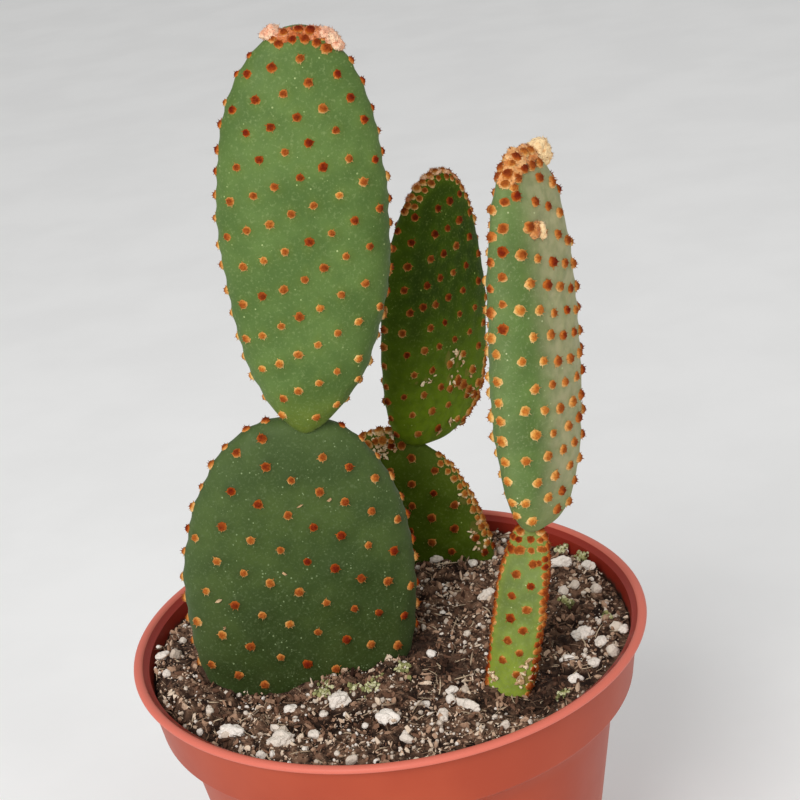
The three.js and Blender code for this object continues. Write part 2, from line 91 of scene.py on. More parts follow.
def smooth_step(low: float, high: float, value: Array) -> Array:
    """Rises from 0 at low to 1 at high, level at both ends: 3t^2 - 2t^3."""
    share = np.clip((value - low) / (high - low), 0, 1)
    return share * share * (3 - 2 * share)


def value_noise(points: Array, wavelength: float, seed: int) -> Array:
    """Smooth noise from -1 to 1: random numbers on a cubic grid, blended by a smooth step.

    Args:
        points: Places, as an array whose last axis has x, y and z.
        wavelength: The grid's step.
        seed: Which random numbers.

    Returns:
        One number for each place.
    """
    table = np.random.default_rng(seed).uniform(-1, 1, 4096)
    cell = points / wavelength
    base = np.floor(cell).astype(np.int64)
    part = cell - base
    part = part * part * (3 - 2 * part)
    total = np.zeros(points.shape[:-1])
    for corner in np.ndindex(2, 2, 2):
        near = base + np.array(corner)
        index = near[..., 0] * 73856093 ^ near[..., 1] * 19349663 ^ near[..., 2] * 83492791
        weight = np.prod(np.where(np.array(corner) == 1, part, 1 - part), axis=-1)
        total += weight * table[index & 4095]
    return total


def layered_noise(points: Array, layers: Pairs, seed: int) -> Array:
    """Sum of noises of several sizes.

    Args:
        points: Places, as an array whose last axis has x, y and z.
        layers: Each noise's wavelength and height.
        seed: Which random numbers.

    Returns:
        One number for each place.
    """
    heights = [
        height * value_noise(points, wavelength, seed + number)
        for number, (wavelength, height) in enumerate(layers)
    ]
    return np.sum(heights, axis=0)


def unit(vectors: Array) -> Array:
    """Vectors of the same directions with length 1."""
    return vectors / np.maximum(np.linalg.norm(vectors, axis=-1, keepdims=True), 1e-12)


def random_turns(count: int, rng: np.random.Generator) -> Array:
    """Rotation matrices of evenly spread random turns, from random unit quaternions.

    Args:
        count: How many.
        rng: Random numbers.

    Returns:
        One matrix for each.
    """
    w, x, y, z = np.moveaxis(unit(rng.normal(size=(count, 4))), -1, 0)
    rows = [
        [1 - 2 * (y * y + z * z), 2 * (x * y - z * w), 2 * (x * z + y * w)],
        [2 * (x * y + z * w), 1 - 2 * (x * x + z * z), 2 * (y * z - x * w)],
        [2 * (x * z - y * w), 2 * (y * z + x * w), 1 - 2 * (x * x + y * y)],
    ]
    return np.moveaxis(np.array(rows), -1, 0)


def lying_axes(turn: Array, tilt: Array) -> tuple[Array, Array, Array]:
    """Frames of things that lie at a turn from x and a tilt from the level.

    Args:
        turn: Turns about the upright, in radians.
        tilt: Tilts up, in radians.

    Returns:
        Unit vectors along each, to its left, and over it.
    """
    along = np.stack([np.cos(turn) * np.cos(tilt), np.sin(turn) * np.cos(tilt), np.sin(tilt)], -1)
    side = np.stack([-np.sin(turn), np.cos(turn), np.zeros(len(turn))], -1)
    return along, side, np.cross(along, side)


def spaced(spots: Array, apart: Array) -> Array:
    """Numbers of the spots that are kept, in order, each clear of all kept before it.

    Args:
        spots: Places on a plane, one a row.
        apart: The least distance of each spot to those kept before it.

    Returns:
        The kept spots' numbers.
    """
    kept: list[int] = []
    for number, spot in enumerate(spots):
        gaps = np.linalg.norm(spots[kept] - spot, axis=1)
        if not kept or gaps.min() >= apart[number]:
            kept.append(number)
    return np.array(kept, int)


# Surfaces


@dataclass
class Surface:
    """A mesh to be: points, blocks of faces as corner numbers, and numbers for its points."""

    points: Array
    faces: list[Array]
    values: dict[str, Array] = field(default_factory=dict)

    @staticmethod
    def joined(parts: list[Surface]) -> Surface:
        """Joins surfaces.

        Args:
            parts: Surfaces that have values of the same names.

        Returns:
            All of them as one.
        """
        faces: list[Array] = []
        start = 0
        for part in parts:
            faces += [block + start for block in part.faces]
            start += len(part.points)
        values = {
            name: np.concatenate([part.values[name] for part in parts]) for name in parts[0].values
        }
        return Surface(np.concatenate([part.points for part in parts]), faces, values)

    def piece(self, name: str, material: bpy.types.Material, smooth: bool = True) -> bpy.types.Object:
        """Makes the object, with its place in its mesh, and lets it ride on the one body.

        Args:
            name: The object's name.
            material: What it is made of.
            smooth: Whether its shading runs on from face to face.

        Returns:
            The object.
        """
        mesh = bpy.data.meshes.new(name)
        corners = [face for block in self.faces for face in block.tolist()]
        mesh.from_pydata((self.points * MM).tolist(), [], corners)
        for value_name, values in self.values.items():
            layer = mesh.attributes.new(value_name, "FLOAT", "POINT")
            layer.data.foreach_set("value", np.asarray(values, np.float32))
        mesh.polygons.foreach_set("use_smooth", np.full(len(corners), smooth))
        mesh.materials.append(material)
        mesh.update()
        piece = bpy.data.objects.new(name, mesh)
        bpy.context.scene.collection.objects.link(piece)
        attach(piece, "root")
        LOG.info("%s: %d points, %d faces", name, len(self.points), len(corners))
        return piece


def rolled_faces(rows: int, columns: int) -> Array:
    """Four-cornered faces of a grid of points whose columns close to a ring.

    Args:
        rows: How many rings of points.
        columns: How many points in a ring.

    Returns:
        The faces' corner numbers.
    """
    row, column = np.meshgrid(np.arange(rows - 1), np.arange(columns), indexing="ij")
    following = (column + 1) % columns
    corners = [row * columns + column, row * columns + following,
               (row + 1) * columns + following, (row + 1) * columns + column]
    return np.stack(corners, -1).reshape(-1, 4)


def fan_faces(middle: int, ring: Array) -> Array:
    """Triangles from a middle point to each side of a ring of points."""
    return np.stack([np.full(len(ring), middle), ring, np.roll(ring, -1)], -1)


def spike_faces(first: int, count: int) -> Array:
    """Sides of three-sided spikes, each with three points at its root and then its tip.

    Args:
        first: Number of the first spike's first point.
        count: How many spikes.

    Returns:
        The triangles' corner numbers.
    """
    starts = first + SPIKE_POINTS * np.arange(count)[:, None]
    return np.concatenate([starts + np.array(side) for side in ((0, 1, 3), (1, 2, 3), (2, 0, 3))])


def lathed(profile: Array, segments: int) -> Surface:
    """A closed profile turned round the axis: its first and last points lie on the axis.

    Args:
        profile: Radius and height, one point a row, running so that solid is on its left.
        segments: How many steps make a turn.

    Returns:
        The surface.
    """
    angles = np.arange(segments) / segments * 2 * math.pi
    rings = profile[1:-1]
    x = rings[:, :1] * np.cos(angles)
    y = rings[:, :1] * np.sin(angles)
    z = np.broadcast_to(rings[:, 1:], x.shape)
    points = np.concatenate(
        [np.stack([x, y, z], -1).reshape(-1, 3), [[0, 0, profile[0, 1]], [0, 0, profile[-1, 1]]]]
    )
    first, last = len(points) - 2, len(points) - 1
    start = np.arange(segments)
    end = start + (len(rings) - 1) * segments
    return Surface(points, [rolled_faces(len(rings), segments), fan_faces(first, start)[:, ::-1],
                            fan_faces(last, end)])


def arc(middle: tuple[float, float], halves: tuple[float, float], start: float, end: float,
        steps: int) -> list[tuple[float, float]]:
    """Points of a round stretch of a profile, from one angle in degrees to another."""
    angles = np.radians(np.linspace(start, end, steps + 1))
    return [(middle[0] + halves[0] * math.cos(a), middle[1] + halves[1] * math.sin(a)) for a in angles]


def round_lump(level: int) -> tuple[Array, Array]:
    """Points and triangles of a ball made of even triangles.

    Args:
        level: 0 for 20 faces, and four times as many for each step up.

    Returns:
        Unit vectors, and the corner numbers of the triangles.
    """
    ratio = (1 + math.sqrt(5)) / 2
    corners = np.array([
        (-1, ratio, 0), (1, ratio, 0), (-1, -ratio, 0), (1, -ratio, 0),
        (0, -1, ratio), (0, 1, ratio), (0, -1, -ratio), (0, 1, -ratio),
        (ratio, 0, -1), (ratio, 0, 1), (-ratio, 0, -1), (-ratio, 0, 1),
    ])
    points = unit(corners)
    faces = np.array([
        (0, 11, 5), (0, 5, 1), (0, 1, 7), (0, 7, 10), (0, 10, 11), (1, 5, 9), (5, 11, 4),
        (11, 10, 2), (10, 7, 6), (7, 1, 8), (3, 9, 4), (3, 4, 2), (3, 2, 6), (3, 6, 8), (3, 8, 9),
        (4, 9, 5), (2, 4, 11), (6, 2, 10), (8, 6, 7), (9, 8, 1),
    ])
    for _ in range(level):
        sides = np.sort(faces[:, [0, 1, 1, 2, 2, 0]].reshape(-1, 2), axis=1)
        pairs, number = np.unique(sides, axis=0, return_inverse=True)
        middles = unit(points[pairs].mean(axis=1))
        ab, bc, ca = (number.reshape(-1, 3) + len(points)).T
        a, b, c = faces.T
        points = np.concatenate([points, middles])
        quarters = (a, ab, ca), (b, bc, ab), (c, ca, bc), (ab, bc, ca)
        faces = np.concatenate([np.stack(quarter, -1) for quarter in quarters])
    return points, faces


def strewn(centres: Array, sizes: Array, level: int, uneven: float, rng: np.random.Generator,
           values: dict[str, Array], turns: Array | None = None) -> Surface:
    """Many uneven lumps: a ball with each corner moved in or out, scaled, turned and placed.

    Args:
        centres: Middles, one a row.
        sizes: The three half sizes of each lump before it is turned.
        level: Fineness of the ball.
        uneven: How far corners move, as a share of the radius.
        rng: Random numbers.
        values: One number a lump, by name.
        turns: How each is turned. Random when left out.

    Returns:
        The lumps as one surface.
    """
    turns = random_turns(len(centres), rng) if turns is None else turns
    ball, faces = round_lump(level)
    count = len(centres)
    share = 1 + uneven * rng.uniform(-1, 1, (count, len(ball), 1))
    shaped = ball * share * sizes[:, None, :]
    points = np.einsum("nij,nvj->nvi", turns, shaped) + centres[:, None, :]
    numbers = faces[None] + (np.arange(count) * len(ball))[:, None, None]
    repeated = {name: np.repeat(each, len(ball)) for name, each in values.items()}
    return Surface(points.reshape(-1, 3), [numbers.reshape(-1, 3)], repeated)


# Shader graphs


class Graph:
    """Places nodes in a shader tree, each fed by sockets or plain values."""

    def __init__(self, tree: bpy.types.NodeTree) -> None:
        """Starts on a material's or a group's tree."""
        self.tree = tree

    def node(self, kind: str, feeds: Feeds | None = None, **settings: object) -> bpy.types.Node:
        """Adds a node.

        Args:
            kind: Blender's name for the node's type.
            feeds: What goes into its inputs, by name or number: sockets or values.
            settings: Properties of the node.

        Returns:
            The node.
        """
        node = self.tree.nodes.new(kind)
        for name, value in settings.items():
            setattr(node, name, value)
        for name, value in (feeds or {}).items():
            self.feed(node.inputs[name], value)
        return node

    def feed(self, target: Socket, value: object) -> None:
        """Links a socket to an input, or sets the input's value.

        Args:
            target: The input.
            value: The socket or the value.
        """
        if isinstance(value, bpy.types.NodeSocket):
            self.tree.links.new(value, target)
        else:
            target.default_value = value

    def math(self, operation: str, first: object, second: object, clamp: bool = False) -> Socket:
        """A sum, product or the like of two numbers."""
        feeds = {0: first, 1: second}
        return self.node("ShaderNodeMath", feeds, operation=operation, use_clamp=clamp).outputs[0]

    def times(self, first: object, second: object) -> Socket:
        """The product of two numbers."""
        return self.math("MULTIPLY", first, second)

    def step(self, value: object, low: float, high: float) -> Socket:
        """Rises smoothly from 0 at low to 1 at high."""
        feeds = {"Value": value, "From Min": low, "From Max": high}
        return self.node("ShaderNodeMapRange", feeds, interpolation_type="SMOOTHSTEP").outputs[0]

    def mix(self, share: object, first: object, second: object) -> Socket:
        """A colour between two."""
        feeds = {"Factor": share, 6: first, 7: second}
        return self.node("ShaderNodeMix", feeds, data_type="RGBA").outputs[2]

    def flecked(self, colour: Socket, noise: Socket, span: tuple[float, float], amount: float,
                fleck: int) -> Socket:
        """A colour with flecks of a screen colour, where noise rises through a span."""
        return self.mix(self.times(self.step(noise, *span), amount), colour, linear(fleck))

    def ramp(self, value: object, scale: Scale) -> Socket:
        """A colour from a scale of screen colours.

        Args:
            value: Where on the scale, from 0 to 1.
            scale: Places on it from the lowest up, each with its colour.

        Returns:
            The colour's socket.
        """
        node = self.node("ShaderNodeValToRGB", {0: value})
        elements = node.color_ramp.elements
        for number, (place, colour) in enumerate(scale):
            element = elements[number] if number < len(elements) else elements.new(place)
            element.position = place
            element.color = linear(colour)
        return node.outputs[0]

    def attribute(self, name: str) -> Socket:
        """One of the surface's own numbers."""
        return self.node("ShaderNodeAttribute", attribute_name=name).outputs["Fac"]

    def place(self) -> Socket:
        """The place on the object, in metres."""
        return self.node("ShaderNodeTexCoord").outputs["Object"]

    def noise(self, place: Socket, size: Socket | float, detail: float = 2.0,
              roughness: float = 0.5) -> Socket:
        """Cloudy noise from 0 to 1.

        Args:
            place: Where.
            size: About how large its patches are, in millimetres.
            detail: How many finer noises are in it.
            roughness: How strong these are.

        Returns:
            The noise's socket.
        """
        scale = self.math("DIVIDE", 1 / MM, size) if isinstance(size, Socket) else 1 / (size * MM)
        feeds = {"Vector": place, "Scale": scale, "Detail": detail, "Roughness": roughness}
        return self.node("ShaderNodeTexNoise", feeds).outputs[0]


class Shared(Enum):
    """Effects that several finishes use, each a node group that is built once."""

    MOTTLE = "two-tone mottling"
    SPECKS = "small specks"
    DUST = "dust of the mix"
    GRAIN = "fine relief"

    def group(self) -> bpy.types.NodeTree:
        """Makes the group's tree on its first use.

        Returns:
            The tree.
        """
        made = bpy.data.node_groups.get(self.value)
        if made:
            return made
        tree = bpy.data.node_groups.new(self.value, "ShaderNodeTree")
        builders = {
            Shared.MOTTLE: _build_mottle,
            Shared.SPECKS: _build_specks,
            Shared.DUST: _build_dust,
            Shared.GRAIN: _build_grain,
        }
        builders[self](tree)
        return tree

    def use(self, graph: Graph, feeds: Feeds) -> Socket:
        """Places the group in a graph, its inputs fed by name, and gives its only output."""
        return graph.node("ShaderNodeGroup", feeds, node_tree=self.group()).outputs[0]


COLOUR, NUMBER, VECTOR = "NodeSocketColor", "NodeSocketFloat", "NodeSocketVector"


def _sockets(tree: bpy.types.NodeTree, result: tuple[str, str],
             kinds: dict[str, str]) -> tuple[Graph, dict[str, Socket], Socket]:
    """Gives a group its inputs, which start with a place and a size, and its one output.

    Args:
        tree: The group's tree.
        result: The output's name and type.
        kinds: The other inputs' types, by name.

    Returns:
        A graph on the tree, the inputs inside it by name, and the output inside it.
    """
    kinds = {"Place": VECTOR, "Size": NUMBER, **kinds}
    for name, kind in kinds.items():
        tree.interface.new_socket(name, in_out="INPUT", socket_type=kind)
    tree.interface.new_socket(result[0], in_out="OUTPUT", socket_type=result[1])
    graph = Graph(tree)
    entry = graph.node("NodeGroupInput")
    leaving = graph.node("NodeGroupOutput")
    return graph, {name: entry.outputs[name] for name in kinds}, leaving.inputs[0]


def _build_mottle(tree: bpy.types.NodeTree) -> None:
    """Two colours in soft patches: noise of a size picks between them.

    Args:
        tree: The group's tree.
    """
    graph, into, out = _sockets(tree, ("Colour", COLOUR), {"Dark": COLOUR, "Light": COLOUR})
    share = graph.step(graph.noise(into["Place"], into["Size"], 4.0), 0.33, 0.67)
    graph.feed(out, graph.mix(share, into["Dark"], into["Light"]))


def _build_specks(tree: bpy.types.NodeTree) -> None:
    """A mask of small dots: cells whose random number is low, near their middles.

    Args:
        tree: The group's tree.
    """
    least_radius, soft_edge = 0.4, 0.08
    graph, into, out = _sockets(tree, ("Mask", NUMBER), {"Share": NUMBER, "Radius": NUMBER})
    scale = graph.math("DIVIDE", 1 / MM, into["Size"])
    cells = graph.node("ShaderNodeTexVoronoi", {"Vector": into["Place"], "Scale": scale})
    pick = graph.node("ShaderNodeSeparateColor", {0: cells.outputs["Color"]})
    chosen = graph.math("LESS_THAN", pick.outputs[0], into["Share"])
    grown = graph.times(into["Radius"], graph.math("ADD", pick.outputs[1], least_radius))
    near = graph.math("SUBTRACT", grown, cells.outputs["Distance"])
    graph.feed(out, graph.times(chosen, graph.step(near, 0.0, soft_edge)))


def _build_dust(tree: bpy.types.NodeTree) -> None:
    """A mask of dust below a height, broken up by noise.

    Args:
        tree: The group's tree.
    """
    raggedness = 4.0
    graph, into, out = _sockets(tree, ("Mask", NUMBER), {"Height": NUMBER, "Spread": NUMBER})
    up = graph.node("ShaderNodeSeparateXYZ", {0: into["Place"]}).outputs[2]
    noise = graph.noise(into["Place"], into["Size"], 5.0)
    ragged = graph.times(graph.math("SUBTRACT", noise, 0.5), into["Spread"])
    edge = graph.math("ADD", into["Height"], graph.times(ragged, raggedness))
    under = graph.math("SUBTRACT", edge, graph.math("DIVIDE", up, MM))
    graph.feed(out, graph.math("DIVIDE", under, into["Spread"], clamp=True))


def _build_grain(tree: bpy.types.NodeTree) -> None:
    """A normal with fine relief from two sizes of noise.

    Args:
        tree: The group's tree.
    """
    coarser, coarse_share = 4.5, 2.0
    graph, into, out = _sockets(tree, ("Normal", VECTOR), {"Depth": NUMBER, "Strength": NUMBER})
    fine = graph.noise(into["Place"], into["Size"], 3.0)
    coarse = graph.noise(into["Place"], graph.times(into["Size"], coarser))
    height = graph.math("ADD", fine, graph.times(coarse, coarse_share))
    depth = graph.times(into["Depth"], MM)
    feeds = {"Height": height, "Distance": depth, "Strength": into["Strength"]}
    graph.feed(out, graph.node("ShaderNodeBump", feeds).outputs[0])


@dataclass(frozen=True)
class Finish:
    """What every finish has: a name, how rough and shiny it is, and fine relief.

    Its grain is the relief's size, depth and strength. Where it is patchy, that is the size
    of its rougher patches and how far their roughness reaches.
    """

    name: str
    roughness: float
    specular: float
    sheen: float = 0.0
    sheen_roughness: float = 0.4
    sheen_tint: int = 0xFFFFFF
    grain: Grain = None
    patchy: tuple[float, float] | None = None

    def colour(self, graph: Graph) -> Socket:
        """The colour that varies over the surface."""
        raise NotImplementedError

    def relief(self, graph: Graph) -> Socket | None:
        """Turns the normal by the finish's grain.

        Args:
            graph: The material's graph.

        Returns:
            The normal, or nothing where the surface has no grain.
        """
        if self.grain is None:
            return None
        feeds = dict(zip(("Size", "Depth", "Strength"), self.grain))
        return Shared.GRAIN.use(graph, {"Place": graph.place(), **feeds})

    def rough(self, graph: Graph) -> Socket | float:
        """How rough the surface is.

        Args:
            graph: The material's graph.

        Returns:
            One number, or a socket where the surface is patchy.
        """
        if self.patchy is None:
            return self.roughness
        size, amount = self.patchy
        patches = graph.noise(graph.place(), size, 3.0)
        return graph.math("ADD", graph.times(patches, amount), self.roughness - amount / 2)

    @cached_property
    def material(self) -> bpy.types.Material:
        """The material, made on first use."""
        material = bpy.data.materials.new(self.name)
        material.use_nodes = True
        material.node_tree.nodes.clear()
        graph = Graph(material.node_tree)
        shader = graph.node("ShaderNodeBsdfPrincipled", {
            "Base Color": self.colour(graph),
            "Roughness": self.rough(graph),
            "Specular IOR Level": self.specular,
            "Sheen Weight": self.sheen,
            "Sheen Roughness": self.sheen_roughness,
            "Sheen Tint": linear(self.sheen_tint),
        })
        normal = self.relief(graph)
        if normal:
            graph.feed(shader.inputs["Normal"], normal)
        graph.node("ShaderNodeOutputMaterial", {"Surface": shader.outputs[0]})
        return material


@dataclass(frozen=True)
class PotPlastic(Finish):
    """Semi-matte terracotta-coloured plastic, with a painted highlight on its rim, painted shade on its
    inner wall, and dust from the mix.
    """

    body: int = 0xA24026
    worn: int = 0xAA472B
    # The rim colour is a painted highlight where the bead catches the light.
    rim: int = 0xD06C5A
    highlight_from: float = 87.6
    highlight_blend: float = 1.4
    # The inner colour is painted shade on the inner wall.
    inner: int = 0x902A1C
    dust: int = 0x4A3328
    dust_height: float = 86.2
    speck: int = 0xE7A48C
    grain: Grain = (1.1, 0.05, 0.25)
    patchy: tuple[float, float] | None = (14.0, 0.18)

    def colour(self, graph: Graph) -> Socket:
        """Mottled body, a painted highlight on the outer rim, painted shade on the inner wall, soil dust
        inside, and a few pale and dark specks.

        Args:
            graph: The material's graph.

        Returns:
            The colour's socket.
        """
        place = graph.place()
        up = graph.node("ShaderNodeSeparateXYZ", {0: place}).outputs[2]
        body = Shared.MOTTLE.use(graph, {
            "Place": place, "Size": 24.0, "Dark": linear(self.body), "Light": linear(self.worn)})
        # Painted highlight on the outer rim, where the bead catches the light.
        rim = graph.step(up, self.highlight_from * MM, (self.highlight_from + self.highlight_blend) * MM)
        inside = graph.attribute("inside")
        rim_highlight = graph.times(rim, graph.math("SUBTRACT", 1.0, inside))
        colour = graph.mix(rim_highlight, body, linear(self.rim))
        # Painted shade on the inner wall.
        colour = graph.mix(inside, colour, linear(self.inner))
        dust = Shared.DUST.use(graph, {
            "Place": place, "Height": self.dust_height, "Spread": 1.0, "Size": 2.5})
        colour = graph.mix(graph.times(dust, inside), colour, linear(self.dust))
        pale = Shared.SPECKS.use(graph, {"Place": place, "Size": 3.2, "Share": 0.06, "Radius": 0.12})
        colour = graph.mix(graph.times(pale, 0.5), colour, linear(self.speck))
        dark = Shared.SPECKS.use(graph, {"Place": place, "Size": 5.0, "Share": 0.05, "Radius": 0.07})
        return graph.mix(graph.times(dark, 0.8), colour, linear(self.dust))


@dataclass(frozen=True, kw_only=True)
class PadSkin(Finish):
    """A pad's matte skin: mottled green, another tone at its root, a painted sheen along its rim, and a
    painted reflection on one side.
    """

    dark: int
    light: int
    root: int
    root_share: float = 0.15
    root_amount: float = 0.85
    halo_amount: float = 0.3
    # The edge colour is a painted sheen along the rim.
    edge: int
    rim_sheen_amount: float = 0.5
    # The side colour is a painted reflection on one side of the face.
    side: int = 0x6F8A5C
    side_reflection_amount: float = 0.0
    speck: int
    speck_share: float = 0.1
    stipple: float = 0.22
    scar: int = 0x8A6A40
    scar_amount: float = 0.6
    grain: Grain = (0.5, 0.06, 0.5)
    patchy: tuple[float, float] | None = (3.0, 0.2)

    def colour(self, graph: Graph) -> Socket:
        """Mottling, the root's tone, a painted sheen at the edge, a painted reflection on one side, pale
        specks, and corky scars.

        Args:
            graph: The material's graph.

        Returns:
            The colour's socket.
        """
        place = graph.place()
        colour = Shared.MOTTLE.use(graph, {
            "Place": place, "Size": 9.0, "Dark": linear(self.dark), "Light": linear(self.light)})
        # Painted reflection on one side.
        side = graph.times(graph.attribute("side"), self.side_reflection_amount)
        colour = graph.mix(side, colour, linear(self.side))
        root = graph.step(graph.attribute("along"), self.root_share, 0.0)
        colour = graph.mix(graph.times(root, self.root_amount), colour, linear(self.root))
        # Painted sheen along the rim.
        edge = graph.times(graph.attribute("edge"), self.rim_sheen_amount)
        colour = graph.mix(edge, colour, linear(self.edge))
        colour = graph.flecked(colour, graph.noise(place, 2.2, 5.0, 0.65), (0.35, 0.7), 0.4, self.dark)
        fine = graph.noise(place, 0.55, 2.0, 0.6)
        colour = graph.flecked(colour, fine, (0.5, 0.8), self.stipple, self.speck)
        halo = graph.times(graph.attribute("halo"), self.halo_amount)
        colour = graph.mix(halo, colour, linear(self.root))
        patch = graph.step(graph.noise(place, 5.0, 3.0), 0.3, 0.65)
        dots = Shared.SPECKS.use(graph, {
            "Place": place, "Size": 0.8, "Share": self.speck_share, "Radius": 0.2})
        colour = graph.mix(graph.times(dots, patch), colour, linear(self.speck))
        crumbly = graph.times(graph.noise(place, 1.1, 4.0), 0.9)
        cork = graph.math("ADD", graph.attribute("scar"), crumbly)
        return graph.flecked(colour, cork, (0.85, 1.05), self.scar_amount, self.scar)


@dataclass(frozen=True)
class BristleFinish(Finish):
    """Barbed bristles: dark red-brown at the top of a tuft, orange to cream at its lower edge."""

    usual: Scale = ((0.0, 0x621604), (0.25, 0x8E3408), (0.5, 0xB45E1C), (1.0, 0xDEA866))
    ripe: Scale = ((0.0, 0xB26220), (0.3, 0xD08C3E), (0.6, 0xE4B468), (1.0, 0xF2D8A0))
    deep: int = 0x4A1206
    grain: Grain = (0.3, 0.25, 0.7)

    def colour(self, graph: Graph) -> Socket:
        """Each tuft's tint picks between two scales of paleness. Fine noise parts the hairs.

        Args:
            graph: The material's graph.

        Returns:
            The colour's socket.
        """
        pale = graph.attribute("pale")
        usual, ripe = graph.ramp(pale, self.usual), graph.ramp(pale, self.ripe)
        colour = graph.mix(graph.attribute("tint"), usual, ripe)
        hairs = graph.noise(graph.place(), 0.3, 2.0, 0.6)
        return graph.flecked(colour, hairs, (0.45, 0.75), 0.45, self.deep)


@dataclass(frozen=True)
class WoolFinish(Finish):
    """Woolly felt of new shoots: each clump's tone goes from orange-red to cream."""

    scale: Scale = ((0.0, 0xA2481A), (0.4, 0xCC7A48), (0.75, 0xE3A98A), (1.0, 0xEFCBAA))
    grain: Grain = (0.35, 0.3, 0.8)

    def colour(self, graph: Graph) -> Socket:
        """The tone's colour, in patches, with darker fine hairs.

        Args:
            graph: The material's graph.

        Returns:
            The colour's socket.
        """
        place = graph.place()
        patch = graph.times(graph.math("SUBTRACT", graph.noise(place, 1.3, 3.0), 0.5), 1.5)
        colour = graph.ramp(graph.math("ADD", graph.attribute("tone"), patch), self.scale)
        hairs = graph.noise(place, 0.35, 3.0, 0.6)
        return graph.flecked(colour, hairs, (0.45, 0.75), 0.4, self.scale[0][1])


@dataclass(frozen=True)
class MixFinish(Finish):
    """Dark peat with brown and beige fibres, and painted shade in its hollows and shaded spots."""

    # The colour of painted shade in the hollows, also the darkest tone of the peat's mottling.
    hollow_shade: int = 0x1E1009
    peat: int = 0x7C5D49
    fibre: int = 0xB0937A
    grain: Grain = (0.6, 0.5, 0.9)

    def colour(self, graph: Graph) -> Socket:
        """Peat from dark to brown, with lighter bits, darkened by painted shade in its hollows and shaded
        spots.

        Args:
            graph: The material's graph.

        Returns:
            The colour's socket.
        """
        place = graph.place()
        colour = Shared.MOTTLE.use(graph, {
            "Place": place, "Size": 1.8, "Dark": linear(self.hollow_shade), "Light": linear(self.peat)})
        colour = graph.flecked(colour, graph.noise(place, 0.7, 4.0, 0.7), (0.56, 0.66), 0.8, self.fibre)
        # Painted shade: the hollows and shaded spots go to the shade colour.
        return graph.mix(graph.attribute("sunk"), colour, linear(self.hollow_shade))


@dataclass(frozen=True, kw_only=True)
class ToneFinish(Finish):
    """Loose bits whose own tone, from 0 to 1, picks a colour from a scale."""

    scale: Scale
    grain: Grain = (0.4, 0.2, 0.8)

    def colour(self, graph: Graph) -> Socket:
        """The scale's colour, with fine dirt over it.

        Args:
            graph: The material's graph.

        Returns:
            The colour's socket.
        """
        colour = graph.ramp(graph.attribute("tone"), self.scale)
        dirt = graph.noise(graph.place(), 0.8, 4.0, 0.65)
        return graph.flecked(colour, dirt, (0.5, 0.85), 0.5, self.scale[0][1])


@dataclass(frozen=True)
class PlainPaper(Finish):
    """The pale studio floor."""

    tone: int = 0xF7F7F6
    lighter: int = 0xFBFBFA

    def colour(self, graph: Graph) -> Socket:
        """Almost white, with the faintest mottling."""
        tones = {"Dark": linear(self.tone), "Light": linear(self.lighter)}
        return Shared.MOTTLE.use(graph, {"Place": graph.place(), "Size": 60.0, **tones})


# The nursery pot


